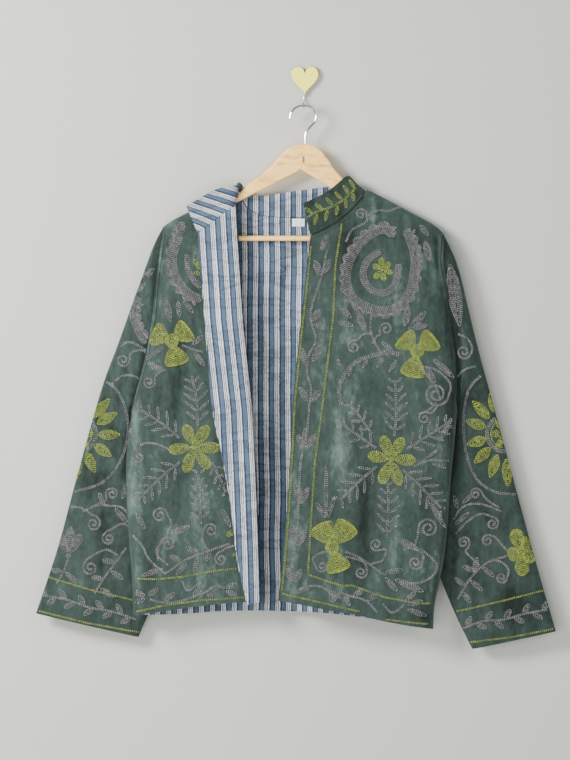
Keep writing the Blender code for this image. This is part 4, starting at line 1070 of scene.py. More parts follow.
class SUZANI_OT_sleeves(Operator):
    """Make both velvet sleeves, creased all round, with lining inside"""
    bl_idname = "suzani.sleeves"
    bl_label = "Sleeves"

    def execute(self, context):
        repeat = context.scene.suzani_lining.repeat
        for node, seam in (("sleeve_right", RIGHT_SEAM), ("sleeve_left", LEFT_SEAM)):
            piece = refined_copy(node, node + "_velvet", looks_from_middle)
            points, x, z = coordinates(piece.data)
            low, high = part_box(node)
            front = np.clip(((low.y + high.y) / 2 - points[:, 1]) / SLEEVE_TURN, -1.0, 1.0)
            height, crease_shading = relief(x, z, node)
            points[:, 1] -= height * front
            # Painted shade of the velvet beside the armhole
            shade_beside_armhole = np.exp(-((x - line_x(seam, z)) / ARMHOLE_SHADE_WIDTH) ** 2)
            shade_beside_armhole *= z > grid_z(ARMHOLE_SHADE_ROW)
            # Pile patches on the sleeve's front with painted highlights and painted shade, the creases'
            # painted highlight and shade, and the painted shade beside the armhole
            patches = np.where(front > 0.0, PATCH_SHARE * nap_and_shading_patches(x, z), 0.0)
            nap_and_shading = SLEEVE_LEVEL + patches + CREASE_SHADING_SHARE * crease_shading
            set_shape(piece.data, points, nap_and_shading - ARMHOLE_SHADE * shade_beside_armhole)
            set_cloth_map(piece.data, x / repeat, z / repeat)
            stand_for(piece, node, "velvet", velvet_material(), lining_material())
        return {"FINISHED"}


class SUZANI_OT_collar(Operator):
    """Make the stand collar and its striped lining, whose right end lies opened on the lapel"""
    bl_idname = "suzani.collar"
    bl_label = "Collar"

    def execute(self, context):
        repeat = context.scene.suzani_lining.repeat
        piece = refined_copy("collar_velvet", "collar_outside")
        points, x, z = coordinates(piece.data)
        set_shape(piece.data, points, COLLAR_LEVEL + slow_change(x, z, "collar"))
        stand_for(piece, "collar_velvet", "velvet", velvet_material())

        lining = refined_copy("collar_lining", "collar_stripes")
        points, x, z = coordinates(lining.data)
        opened = x < grid_x(LAPEL_FOLD[0][0]) + COLLAR_END_PAST_FOLD
        slope = np.radians(np.interp(z, grid_z(COLLAR_END_ROWS), COLLAR_END_SLOPES))
        on_end = x * np.sin(slope) + z * np.cos(slope)
        across = np.where(opened, on_end / repeat + COLLAR_STRIPE_SHIFT, x / repeat + BACK_STRIPE_SHIFT)
        set_shape(lining.data, points, slow_change(x, z, "collar_lining"))
        set_cloth_map(lining.data, across, np.where(opened, x, z) / repeat)
        stand_for(lining, "collar_lining", "striped_cotton", lining_material())
        return {"FINISHED"}


class SUZANI_OT_label(Operator):
    """Make the bare neck label"""
    bl_idname = "suzani.label"
    bl_label = "Neck label"

    def execute(self, context):
        piece = refined_copy("neck_label", "bare_label")
        stand_for(piece, "neck_label", "label_tape", tape_material())
        return {"FINISHED"}


class SUZANI_OT_hanger(Operator):
    """Give the hanger, both hooks and the plaque their finishes"""
    bl_idname = "suzani.hanger"
    bl_label = "Hanger, hooks and plaque"

    def execute(self, context):
        finishes = {"hanger_arms": wood_material, "hanger_bar": wood_material, "hanger_hook": chrome_material,
                    "wall_hook": chrome_material, "wall_plaque": plaque_material}
        for node, finish in finishes.items():
            frame["nodes"][node].material_slots[0].material = finish()
        return {"FINISHED"}


class Rows:
    """Rows of chain stitch, each a colour and a line of points in squares."""

    def __init__(self):
        self.rows = []

    def stem(self, curve, colour, width):
        """Two close rows along a curve."""
        for side in (-0.5, 0.5):
            self.rows.append((colour, curve + sideways(curve) * side * width))

    def line(self, points, colour=GREY):
        """A stem along a smooth curve through the points."""
        self.stem(smooth_curve(points), colour, STEM)

    def border(self, points, colour=MOSS):
        """A narrow stem along straight runs between the points."""
        self.stem(np.asarray(points, float), colour, BORDER_GAP)

    def spiral(self, centre, radius, tail, turns=1.6, colour=GREY):
        """A stem along the tail's points that winds into a spiral; turns is negative clockwise."""
        centre = np.asarray(centre, float)
        last = np.asarray(tail[-1], float)
        start = math.atan2(last[1] - centre[1], last[0] - centre[0]) + math.copysign(SPIRAL_JOIN, turns)
        t = np.linspace(0.0, 1.0, SPIRAL_POINTS)
        angle = start + 2.0 * math.pi * turns * t
        size = radius * (1.0 - SPIRAL_WINDS_IN * t)
        winding = centre + np.stack([np.cos(angle), np.sin(angle)], axis=1) * size[:, None]
        stem = smooth_curve(list(tail) + [tuple(winding[0]), tuple(winding[3])])[:-1]
        self.stem(np.vstack([stem[:-6], winding]), colour, STEM)

    def leaf(self, base, tip, width, colour=GREY, blunt=0.7, widest=0.5):
        """A leaf or petal filled with nested rows. A small blunt value rounds its tip."""
        base, tip = np.asarray(base, float), np.asarray(tip, float)
        along = tip - base
        length = np.linalg.norm(along)
        along /= length
        across = np.array([-along[1], along[0]])
        t = np.linspace(0.0, 1.0, max(9, int(length)))
        middle = base + along * (t * length)[:, None]
        phase = np.interp(t, [0.0, widest, 1.0], [0.0, 0.5, 1.0])
        half = width / 2.0 * np.abs(np.sin(math.pi * phase)) ** blunt
        inset = ROW_GAP / 2.0
        while inset < width / 2.0 - LEAF_CORE:
            inside = half >= inset
            if inside.sum() > 2:
                side = across * (half - inset)[:, None]
                ring = np.vstack([(middle + side)[inside], (middle - side)[inside][::-1]])
                self.rows.append((colour, np.vstack([ring, ring[:1]])))
            inset += ROW_GAP
        left_open = width / 2.0 - inset + ROW_GAP
        if left_open > LEAF_GAP * ROW_GAP:
            self.rows.append((colour, middle[half >= width / 2.0 - left_open]))

    def leaves(self, leaves, colour=GREY):
        """Leaves, each told by its base, tip and width."""
        for x0, y0, x1, y1, width in leaves:
            self.leaf((x0, y0), (x1, y1), width, colour)

    def band(self, points, width, scallops=0, colour=GREY):
        """A band of side-by-side rows with round ends; scallops edge its left (1) or right (-1) side."""
        middle = smooth_curve(points, BAND_STEPS)
        across = sideways(middle)
        run = run_along(middle)
        closed = np.linalg.norm(middle[0] - middle[-1]) < ROW_GAP
        for offset in np.arange(-width / 2.0 + ROW_GAP / 2.0, width / 2.0, ROW_GAP):
            cut = 0.0 if closed else width / 2.0 - math.sqrt(width ** 2 / 4.0 - offset ** 2)
            kept = (run >= cut) & (run <= run[-1] - cut)
            self.rows.append((colour, (middle + across * offset)[kept]))
        if scallops:
            arcs = np.abs(np.sin(math.pi * run / SCALLOP))
            for depth in np.arange(SCALLOP_DEPTH, 0.0, -ROW_GAP):
                out = width / 2.0 - ROW_GAP / 2.0 + depth * arcs ** SCALLOP_POWER
                cut = 0.0 if closed else width / 2.0
                kept = (run >= cut) & (run <= run[-1] - cut)
                self.rows.append((colour, (middle + across * (scallops * out)[:, None])[kept]))

    def fern(self, points, reach, step=9.0, angle=48.0, colour=GREY):
        """A stem of two rows with pairs of straight needle leaves that lean to its end."""
        stem = smooth_curve(points)
        self.stem(stem, colour, ROW_GAP)
        run = run_along(stem)
        heading = np.gradient(stem, axis=0)
        place = step * 0.5
        while place < run[-1]:
            at = at_run(place, run, stem)
            ahead = at_run(place, run, heading)
            ahead /= np.linalg.norm(ahead)
            full = math.sin(math.pi * min(1.0, place / run[-1] + NEEDLE_START))
            size = reach * (NEEDLE_SHORTEST + (1.0 - NEEDLE_SHORTEST) * full)
            for side in (1.0, -1.0):
                turn = math.radians(angle) * side
                way = np.array([ahead[0] * math.cos(turn) - ahead[1] * math.sin(turn),
                                ahead[0] * math.sin(turn) + ahead[1] * math.cos(turn)])
                self.leaf(at + way * NEEDLE_OFF_STEM, at + way * size, NEEDLE, colour, NEEDLE_BLUNT)
            place += step

    def flower(self, centre, petals, width, colour=LIME, blunt=0.6, start=0.1, widest=0.62):
        """An eye, and petals from near the centre out to their tips."""
        centre = np.asarray(centre, float)
        eye = (width * EYE_HALF, 0.0)
        self.leaf(centre - eye, centre + eye, width * EYE_WIDTH, colour)
        for tip in petals:
            tip = np.asarray(tip, float)
            self.leaf(centre + (tip - centre) * start, tip, width, colour, blunt, widest)

    def ring(self, centre, radius, rows=1, first=0.0, last=360.0, colour=GREY):
        """Part of a circle, in side-by-side rows, between two angles in degrees."""
        angle = np.radians(np.linspace(first, last, RING_POINTS))
        unit = np.stack([np.cos(angle), np.sin(angle)], axis=1)
        for row in range(rows):
            size = radius - row * ROW_GAP
            self.rows.append((colour, np.asarray(centre, float) + size * unit))


def smooth_curve(points, steps=CURVE_STEPS):
    """Points along a smooth curve through the given points."""
    points = np.asarray(points, float)
    if len(points) < 3:
        t = np.linspace(0.0, 1.0, steps * 2)[:, None]
        return points[0] * (1.0 - t) + points[-1] * t
    padded = np.vstack([2 * points[0] - points[1], points, 2 * points[-1] - points[-2]])
    t = np.linspace(0.0, 1.0, steps, endpoint=False)[:, None]
    spans = []
    for a, b, c, d in zip(padded[:-3], padded[1:-2], padded[2:-1], padded[3:]):
        spans.append(0.5 * (2 * b + (c - a) * t + (2 * a - 5 * b + 4 * c - d) * t ** 2
                            + (3 * b - a - 3 * c + d) * t ** 3))
    return np.vstack(spans + [points[-1:]])


def sideways(line):
    """Unit vectors to the left of a line of points, seen with the second axis down."""
    ahead = np.gradient(line, axis=0)
    ahead /= np.maximum(np.linalg.norm(ahead, axis=1), 1e-9)[:, None]
    return np.stack([ahead[:, 1], -ahead[:, 0]], axis=1)


def run_along(line):
    """How far along a line each of its points is."""
    return np.concatenate([[0.0], np.cumsum(np.linalg.norm(np.diff(line, axis=0), axis=1))])


def at_run(places, run, line):
    """Values of a line of pairs, or of a pair for each of its points, at places along its run."""
    return np.stack([np.interp(places, run, line[:, k]) for k in range(2)], axis=-1)


def left_front_rows():
    """Embroidery of the left front, on the right of a viewer."""
    sew = Rows()
    sew.band([(396, 236), (384, 229), (368, 236), (354, 252), (347, 270), (348, 289), (357, 302),
             (372, 309), (386, 311), (399, 306), (409, 293), (414, 275), (415, 256), (411, 241),
             (406, 228)], 8, -1)
    sew.band([(381, 250), (367, 261), (363, 275), (368, 287), (378, 293), (389, 291), (397, 279),
             (399, 263)], 7.2)
    sew.flower((382, 270), [(381, 257), (391, 262), (393, 273), (384, 282), (373, 279), (372, 265)], 6.4)
    sew.spiral((361, 214), 6, [(346, 242), (352, 230), (366, 222)], -1.5)
    sew.line([(366, 216), (378, 210), (388, 211), (398, 207)])
    sew.leaves([(396, 207, 404, 204, 6), (425, 240, 430, 262, 8), (420, 224, 429, 236, 6)])
    sew.line([(371, 312), (371, 332), (376, 345), (383, 355)])
    sew.leaves([(338, 305, 352, 319, 6), (337, 322, 354, 326, 6), (356, 309, 366, 333, 7.5)])
    sew.spiral((386, 329), 6.5, [(372, 344), (376, 337), (380, 334)], 1.4)
    sew.spiral((354, 347), 6.5, [(373, 334), (364, 334), (357, 340)], -1.4)
    sew.leaf((381, 341), (395, 355), 5.6)
    sew.band([(400, 355), (388, 353), (372, 356), (355, 363), (344, 376), (339, 390), (342, 406)], 5)
    sew.leaves([(384, 357, 376, 369, 4.6), (397, 359, 388, 373, 4.6), (368, 359, 362, 369, 4.6),
                (352, 366, 348, 377, 4.6), (337, 358, 341, 367, 4.6), (404, 327, 409, 306, 8),
                (410, 328, 426, 311, 8), (412, 328, 428, 325, 7)])
    sew.line([(409, 327), (411, 336), (416, 346)])
    sew.flower((417, 351), [(401, 336), (435, 337), (411, 378)], 25, **TREFOIL)
    sew.leaves([(432, 358, 455, 379, 7), (425, 366, 436, 384, 6)])
    sew.line([(414, 362), (424, 372), (436, 388), (440, 400)])
    sew.spiral((436, 394), 13, [(420, 366), (436, 370), (449, 382)], 1.9)
    sew.fern([(394, 436), (396, 412), (395, 380)], 17, 9.5)
    sew.fern([(372, 434), (362, 420), (350, 404)], 13, 10)
    sew.flower((391, 459), [(382, 435), (403, 437), (416, 460), (400, 486), (380, 484), (367, 455)], 12)
    sew.fern([(376, 448), (356, 434), (336, 419)], 15, 11)
    sew.fern([(406, 449), (430, 434), (452, 420)], 19, 10)
    sew.line([(413, 466), (430, 460), (453, 461)])
    sew.leaf((424, 459), (440, 448), NEEDLE)
    sew.leaf((430, 463), (449, 469), NEEDLE)
    sew.fern([(402, 469), (424, 490), (441, 508)], 20, 10)
    sew.fern([(386, 538), (388, 510), (388, 482)], 17, 9.5)
    sew.fern([(377, 466), (358, 482), (340, 500)], 19, 10.5)
    sew.leaf((326, 516), (326, 463), 4.6, GREY, 0.35)
    sew.leaf((326, 518), (315, 501), 5, GREY, 0.5)
    sew.leaf((327, 518), (335, 496), 5, GREY, 0.5)
    sew.flower((332, 547), [(319, 523), (350, 522), (340, 572)], 25, **TREFOIL)
    sew.spiral((376, 544), 6.5, [(369, 564), (382, 560), (386, 549)], 1.5)
    sew.spiral((361, 572), 6.5, [(345, 556), (354, 558), (364, 562)], 1.6)
    sew.spiral((322, 566), 6, [(333, 552), (322, 552), (313, 558)], -1.5)
    sew.spiral((428, 528), 9.5, [(414, 547), (417, 536), (418, 528)], 1.7)
    sew.spiral((415, 562), 7.5, [(403, 549), (412, 548), (422, 553)], 1.6)
    sew.leaf((394, 537), (420, 550), 7)
    sew.line([(420, 548), (436, 563), (433, 575), (420, 582), (400, 583)])
    sew.line([(345, 551), (357, 556), (368, 563), (380, 572), (386, 574)])
    sew.leaves([(384, 572, 405, 569, 6), (384, 576, 398, 592, 6), (393, 578, 425, 592, 7.5),
                (426, 494, 446, 530, 6), (440, 440, 452, 416, 5.6)])
    sew.line([(436, 402), (428, 410), (418, 414)])
    sew.spiral((424, 418), 6, [(438, 404), (434, 410), (430, 413)], -1.4)

    # Hem
    sew.line([(382, 603), (392, 612), (404, 604)])
    sew.line([(340, 592), (352, 596), (365, 600), (378, 612)])
    sew.leaves([(340, 592, 330, 602, 6), (344, 592, 350, 606, 6), (352, 596, 366, 588, 6),
                (366, 601, 380, 592, 6), (406, 604, 424, 600, 6), (406, 608, 428, 616, 6),
                (404, 602, 416, 590, 6), (312, 585, 295, 592, 6), (328, 590, 342, 598, 6)])
    sew.line([(300, 588), (312, 585), (325, 588), (336, 600)])

    # Vine beside the front edge
    sew.leaf((321, 251), (328, 234), 7)
    sew.line([(327, 250), (322, 275), (311, 310), (312, 325), (316, 340), (309, 355), (307, 372),
             (311, 388), (309, 410), (307, 432), (301, 460), (299, 490), (298, 520), (294, 548),
             (290, 580)])
    sew.leaves([(321, 276, 314, 260, 7.5), (323, 274, 330, 259, 7.5), (311, 322, 322, 308, 7.5),
                (313, 323, 326, 329, 7), (306, 366, 301, 347, 7.5), (312, 362, 323, 343, 8.75),
                (308, 402, 299, 386, 7.5), (310, 402, 321, 390, 7.5), (305, 450, 297, 434, 7.5),
                (307, 449, 317, 433, 7.5), (306, 448, 305, 427, 7), (300, 504, 296, 482, 8.75),
                (300, 504, 309, 486, 7.5), (297, 546, 291, 524, 8.75), (298, 546, 306, 528, 7.5),
                (292, 582, 287, 564, 7.5), (294, 582, 302, 568, 7.5)])

    # Lime borders
    sew.border([(311, 246), (306.5, 290), (300.5, 345), (295, 400), (290.5, 492), (284.5, 566), (282, 590)])
    sew.border([(342, 223), (335.5, 264), (333, 317), (322, 410), (315, 461), (311, 520), (308, 574)])
    sew.border([(308, 574), (325, 580), (341, 585), (352, 585), (385, 597), (423, 603), (436, 603)])
    sew.border([(282, 593), (334, 605), (360, 611)])
    sew.border([(385, 619), (432, 624)])
    return sew


def right_front_rows():
    """Embroidery of the right front, on the left of a viewer."""
    sew = Rows()
    sew.band([(183, 220), (178, 238), (173, 254), (173, 268), (179, 283), (189, 294), (203, 300)], 8, -1)
    sew.band([(187, 253), (188, 268), (194, 281), (202, 288)], 5.6)
    sew.leaves([(201, 270, 193, 258, 5), (201, 274, 193, 272, 5)], LIME)
    sew.leaves([(165, 296, 171, 323, 7.5), (183, 300, 194, 314, 5.6), (178, 300, 180, 318, 5.6)])
    sew.flower((172, 341), [(152, 332), (190, 328), (178, 366)], 25, **TREFOIL)
    sew.band([(164, 346), (155, 353), (146, 359)], 4.4)
    sew.leaf((147, 363), (164, 370), 7)
    sew.spiral((149, 382), 6.5, [(166, 370), (160, 372), (155, 377)], 1.5)
    sew.line([(182, 345), (192, 349), (203, 352)])
    sew.leaves([(192, 345, 204, 335, 6), (194, 351, 205, 367, 6)])
    sew.fern([(198, 426), (197, 402), (192, 376)], 18, 9.5)
    sew.flower((194, 447), [(185, 424), (209, 425), (221, 448), (210, 469), (185, 473), (168, 450)], 12)
    sew.fern([(180, 438), (163, 424), (141, 410)], 18, 10.5)
    sew.fern([(180, 462), (160, 478), (139, 499)], 19, 10.5)
    sew.fern([(201, 524), (200, 500), (199, 474)], 15, 9)
    sew.fern([(212, 462), (220, 478), (226, 492)], 12, 9)
    sew.line([(170, 450), (160, 445), (150, 443), (140, 444)])
    sew.spiral((139, 457), 6, [(158, 444), (146, 443), (138, 448)], -1.5)
    sew.leaf((134, 438), (129, 424), 5)
    sew.spiral((160, 515), 8, [(168, 565), (156, 552), (165, 538), (171, 524)], -1.7)
    sew.spiral((168, 544), 7.5, [(158, 561), (158, 552), (160, 545)], 1.5)
    sew.leaves([(171, 533, 191, 526, 7), (136, 512, 146, 530, 6)])
    sew.line([(133, 535), (142, 545), (150, 560), (166, 574)])
    sew.line([(166, 573), (185, 560), (203, 553), (230, 543)])
    sew.leaves([(165, 568, 140, 576, 6), (182, 561, 169, 555, 6), (200, 554, 185, 546, 6),
                (198, 556, 194, 573, 6), (187, 561, 176, 576, 6), (210, 550, 206, 562, 6)])
    sew.spiral((211, 530), 7, [(209, 551), (203, 542), (203, 533)], 1.5)
    sew.spiral((221, 559), 6.5, [(236, 545), (228, 547), (222, 551)], -1.5)
    sew.leaf((222, 508), (231, 528), 6)
    sew.leaves([(226, 536, 236, 530, 6), (232, 556, 240, 552, 5)], LIME)

    # Hem
    sew.line([(182, 581), (188, 590), (203, 581)])
    sew.line([(150, 599), (162, 602), (175, 602), (190, 598), (205, 592), (215, 586), (225, 588)])
    sew.leaves([(225, 588, 238, 583, 6), (225, 590, 238, 596, 6), (146, 596, 132, 590, 6),
                (146, 598, 134, 603, 6), (148, 596, 159, 587, 6), (164, 601, 176, 592, 6),
                (192, 596, 204, 586, 6), (207, 590, 213, 600, 6)])

    # Lime borders
    sew.border([(131, 578), (155, 579), (180, 577), (200, 573), (220, 570), (241, 568)])
    sew.border([(134, 612), (160, 606), (200, 600), (245, 597)])
    return sew


def vine(sew, points, size, colour=GREY):
    """A wavy stem with a leaf to each side in turn."""
    sew.line(points, colour)
    stem = smooth_curve(points)
    run = run_along(stem)
    side = 1.0
    for place in np.arange(size * VINE_START, run[-1], size * VINE_STEP):
        at = at_run(place, run, stem)
        ahead = at_run(place + 1.0, run, stem) - at
        ahead /= max(np.linalg.norm(ahead), 1e-9)
        way = VINE_AHEAD * ahead + VINE_OUT * side * np.array([ahead[1], -ahead[0]])
        sew.leaf(at, at + way * size, size * VINE_WIDTH, colour)
        side = -side


def left_sleeve_rows():
    """Embroidery of the left sleeve's front."""
    sew = Rows()
    sew.leaf((450, 263), (460, 328), 14.5, GREY, 0.7, 0.45)
    sew.spiral((464, 352), 7.5, [(458, 334), (467, 338), (472, 346)], 1.6)
    sew.line([(455, 380), (464, 370), (476, 366)])
    sew.flower((505, 434), [(472, 400), (465, 420), (466, 445), (474, 464), (490, 479), (509, 489),
               (490, 392)], 11, **SUN)
    sew.ring((505, 434), 19, 3, 80, 290)
    sew.ring((505, 434), 13.8, 1, 80, 290, LIME)
    sew.leaves([(505, 434, 490, 434, 8), (505, 436, 496, 450, 7), (505, 432, 496, 418, 7)], LIME)
    sew.band([(482, 375), (470, 388), (465, 408), (464, 432), (468, 458), (478, 480), (496, 492),
             (518, 495)], 3.2)
    sew.line([(454, 520), (462, 508), (474, 504), (488, 506), (502, 512)])
    sew.leaves([(462, 504, 476, 492, 5), (458, 510, 454, 494, 5), (470, 512, 454, 526, 5.4)])
    sew.spiral((476, 494), 6, [(500, 508), (490, 502), (484, 496)], -1.5)
    sew.spiral((493, 524), 7, [(456, 534), (470, 520), (482, 514)], 1.6)
    sew.spiral((464, 543), 6.5, [(480, 566), (474, 560), (466, 552)], -1.6)
    sew.spiral((488, 541), 6, [(510, 553), (503, 546), (496, 538)], -1.5)
    sew.flower((522, 552), [(515, 529), (533, 538), (537, 560), (523, 577), (508, 556)], 15)
    sew.line([(458, 600), (470, 580), (486, 564), (508, 556)])
    sew.leaves([(474, 574, 478, 556, 6), (482, 567, 496, 578, 6), (470, 580, 484, 592, 6),
                (466, 586, 454, 578, 6), (462, 592, 472, 604, 6), (476, 572, 462, 566, 6)])
    sew.spiral((502, 578), 6, [(494, 560), (503, 563), (509, 570)], 1.6)
    vine(sew, [(462, 630), (482, 622), (504, 620), (526, 614), (550, 610)], 13)
    sew.border([(457, 612), (500, 602), (548, 590)])
    sew.border([(471, 643), (515, 637), (556, 629)])
    return sew


def right_sleeve_rows():
    """Embroidery of the right sleeve's front."""
    sew = Rows()
    sew.leaves([(142, 278, 155, 268, 7), (134, 294, 146, 281, 6)])
    sew.band([(139, 296), (133, 310), (137, 328), (147, 344)], 8, 1)
    sew.line([(118, 347), (130, 342), (146, 350)])
    sew.spiral((123, 360), 7, [(146, 352), (138, 350), (130, 354)], 1.6)
    sew.line([(112, 384), (122, 376), (134, 376), (142, 382)])
    sew.flower((78, 434), [(110, 398), (118, 412), (121, 435), (112, 457), (95, 474), (75, 482), (95, 390)],
               11, **SUN)
    sew.ring((78, 434), 19, 3, -110, 100)
    sew.ring((78, 434), 13.8, 1, -110, 100, LIME)
    sew.leaves([(79, 434, 94, 434, 8), (79, 436, 88, 450, 7), (79, 432, 88, 418, 7)], LIME)
    sew.band([(102, 378), (117, 390), (126, 410), (128, 434), (120, 462), (102, 483), (72, 493)], 3.6)
    sew.line([(132, 520), (122, 508), (110, 506), (96, 506), (82, 512)])
    sew.spiral((112, 494), 6.5, [(90, 508), (98, 504), (106, 500)], 1.6)
    sew.spiral((93, 524), 7.5, [(70, 507), (80, 508), (90, 514)], 1.6)
    sew.spiral((108, 539), 6.5, [(132, 528), (122, 524), (110, 530)], -1.6)
    sew.spiral((90, 568), 8, [(118, 556), (106, 550), (92, 556)], -1.6)
    sew.flower((68, 556), [(56, 530), (70, 526), (81, 534)], 10, GREY)
    sew.line([(68, 556), (64, 570), (56, 584)])
    sew.leaves([(114, 508, 128, 524, 6), (104, 506, 98, 492, 5.4), (122, 500, 126, 484, 5.4)])
    sew.line([(126, 548), (116, 562), (104, 578), (94, 594)])
    sew.leaves([(115, 563, 101, 560, 6), (110, 571, 124, 580, 6), (104, 580, 90, 577, 6),
                (99, 588, 114, 598, 6), (62, 572, 50, 570, 6), (64, 572, 78, 584, 6)])
    vine(sew, [(136, 620), (112, 612), (90, 608), (66, 600), (42, 596)], 13)
    sew.border([(46, 577), (90, 590), (134, 601)])
    sew.border([(36, 611), (90, 624), (139, 633)])
    return sew


def round_middle(row, radius, count, first=0.0):
    """Places evenly round a circle on the back's middle line."""
    turns = math.radians(first) + np.arange(count) * 2.0 * math.pi / count
    return [(BACK_MIDDLE + radius * math.cos(turn), row + radius * math.sin(turn)) for turn in turns]


def back_rows():
    """Embroidery of the back: the fronts' motifs on both sides of a middle flower."""
    sew = Rows()
    circle = round_middle(330, 46, 24)
    sew.band(circle + circle[:1], 8, -1)
    sew.ring((BACK_MIDDLE, 330), 27, 3)
    sew.flower((BACK_MIDDLE, 330), round_middle(330, 21, 6), 11)
    sew.fern([(290, 384), (291, 430), (290, 474)], 18, 10)
    for side in (-1, 1):
        def at(*places):
            return [(BACK_MIDDLE + side * across, row) for across, row in places]
        sew.fern(at((12, 384), (42, 420), (54, 470)), 17, 10)
        sew.spiral(*at((72, 346)), 12, at((44, 374), (62, 372), (78, 362)), -1.8 * side)
        sew.spiral(*at((70, 300)), 9, at((50, 318), (60, 316), (72, 310)), -1.6 * side)
        for base, tip in (((30, 276), (44, 252)), ((14, 272), (16, 246)), ((92, 318), (116, 304))):
            sew.leaf(*at(base, tip), 8)
        sew.flower(*at((108, 400)), at((86, 388), (126, 380), (112, 424)), 22, **TREFOIL)
        sew.fern(at((104, 426), (100, 470), (96, 510)), 17, 10)
        sew.spiral(*at((122, 470)), 10, at((102, 500), (118, 496), (128, 484)), -1.8 * side)
        sew.spiral(*at((44, 540)), 9, at((12, 548), (26, 556), (40, 550)), -1.6 * side)
        sew.flower(*at((90, 552)), at((70, 536), (110, 536), (92, 574)), 18, widest=0.75)
        sew.leaf(*at((120, 520), (134, 546)), 8)
        sew.spiral(*at((96, 260)), 8, at((74, 274), (86, 276), (100, 268)), -1.6 * side)
    sew.flower((BACK_MIDDLE, 510), round_middle(510, 22, 6, 30.0), 12)
    sew.border([(132, 582), (200, 580), (290, 580), (380, 586), (440, 590)])
    sew.border([(134, 609), (290, 604), (432, 618)])
    return sew


def collar_rows():
    """The collar's vine."""
    sew = Rows()
    sew.line([(307, 218), (314, 213), (325, 209), (335, 205), (344, 199), (350, 194), (356, 187)], MOSS)
    for base, tip in (((313, 214), (304, 207)), ((324, 210), (314, 203)), ((334, 206), (325, 197)),
                      ((343, 200), (334, 191)), ((350, 195), (343, 184)), ((355, 188), (349, 178)),
                      ((318, 213), (314, 226)), ((328, 209), (325, 222)), ((338, 204), (336, 216)),
                      ((346, 198), (346, 209)), ((353, 192), (354, 202))):
        sew.leaf(base, tip, 4.4, MOSS, 0.5)
    return sew


def stitch_places(rows, length):
    """Both ends, in metres across and up, and the colour of every stitch along the rows."""
    places = []
    for colour, points in rows:
        line = np.stack([grid_x(points[:, 0]), grid_z(points[:, 1])], axis=1)
        run = run_along(line)
        count = max(1, round(run[-1] / length))
        knots = at_run(np.linspace(0.0, run[-1], count + 1), run, line)
        for a, b in zip(knots[:-1], knots[1:]):
            places.append((a, b, colour))
    return places


def sew_on(name, cloth, rows, view=-1.0, covers=()):
    """Sew rows on a cloth piece, seen from the front (view -1) or the back (1), where nothing covers it."""
    thread = bpy.context.scene.suzani_thread
    ground = BVHTree.FromObject(cloth, bpy.context.evaluated_depsgraph_get())
    lids = [BVHTree.FromObject(cover, bpy.context.evaluated_depsgraph_get()) for cover in covers]
    ahead = Vector((0.0, -view, 0.0))
    random = np.random.default_rng(len(rows.rows))
    points, colours, tones = [], [], []
    for a, b, colour in stitch_places(rows.rows, thread.stitch_length):
        hits = []
        for x, z in (a, b):
            start = Vector((x, view * CAST_FROM, z))
            place, normal, _, distance = ground.ray_cast(start, ahead)
            if place is None or normal.y * view < FLATTEST:
                break
            if any((lid.ray_cast(start, ahead)[3] or CAST_FROM * 2) < distance for lid in lids):
                break
            hits.append((place, normal))
        if len(hits) < 2 or abs(hits[0][0].y - hits[1][0].y) > STEEPEST_STITCH:
            continue
        middle = (hits[0][0] + hits[1][0]) / 2
        along = hits[1][0] - hits[0][0]
        up = (hits[0][1] + hits[1][1]).normalized()
        across = up.cross(along).normalized() * thread.stitch_width * random.uniform(*STITCH_WIDTHS)
        rise = up * thread.stitch_height * random.uniform(*STITCH_HEIGHTS)
        sunk = up * -SUNK
        half = along * STITCH_HALF
        widest = middle + half * STITCH_WIDEST
        top = across * STITCH_TOP
        points += [middle - half + sunk, middle + half + sunk, widest + across / 2 + sunk,
                   widest - across / 2 + sunk, middle + top + rise, middle - top + rise,
                   middle + rise * STITCH_DIP]
        colours.append(colour)
        tones.append(random.uniform(*STITCH_TONES))
    if not colours:
        raise RuntimeError(f"no stitch of {name} lies on its cloth")
    mesh = bpy.data.meshes.new(name)
    faces = [tuple(STITCH_POINTS * k + i for i in face)
             for k in range(len(colours)) for face in STITCH_FACES]
    mesh.from_pydata(points, [], faces)
    for shade in ("grey", "lime", "moss"):
        mesh.materials.append(thread_material(shade + "_thread", getattr(thread, shade)))
    mesh.polygons.foreach_set("material_index", np.repeat(colours, len(STITCH_FACES)).astype(np.int32))
    mesh.update()
    set_value(mesh, "tone", np.repeat(tones, STITCH_POINTS))
    made = link_object(name, mesh)
    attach(made, "root")
    return made


def nearest_depth(grounds, x, z, view):
    """Depth of the first cloth under a place, or None where there is none or it is too steep."""
    start, ahead = Vector((x, view * CAST_FROM, z)), Vector((0.0, -view, 0.0))
    casts = [ground.ray_cast(start, ahead) for ground in grounds]
    hits = [(distance, place.y) for place, normal, _, distance in casts
            if place is not None and normal.y * view > FLATTEST]
    return min(hits)[1] if hits else None


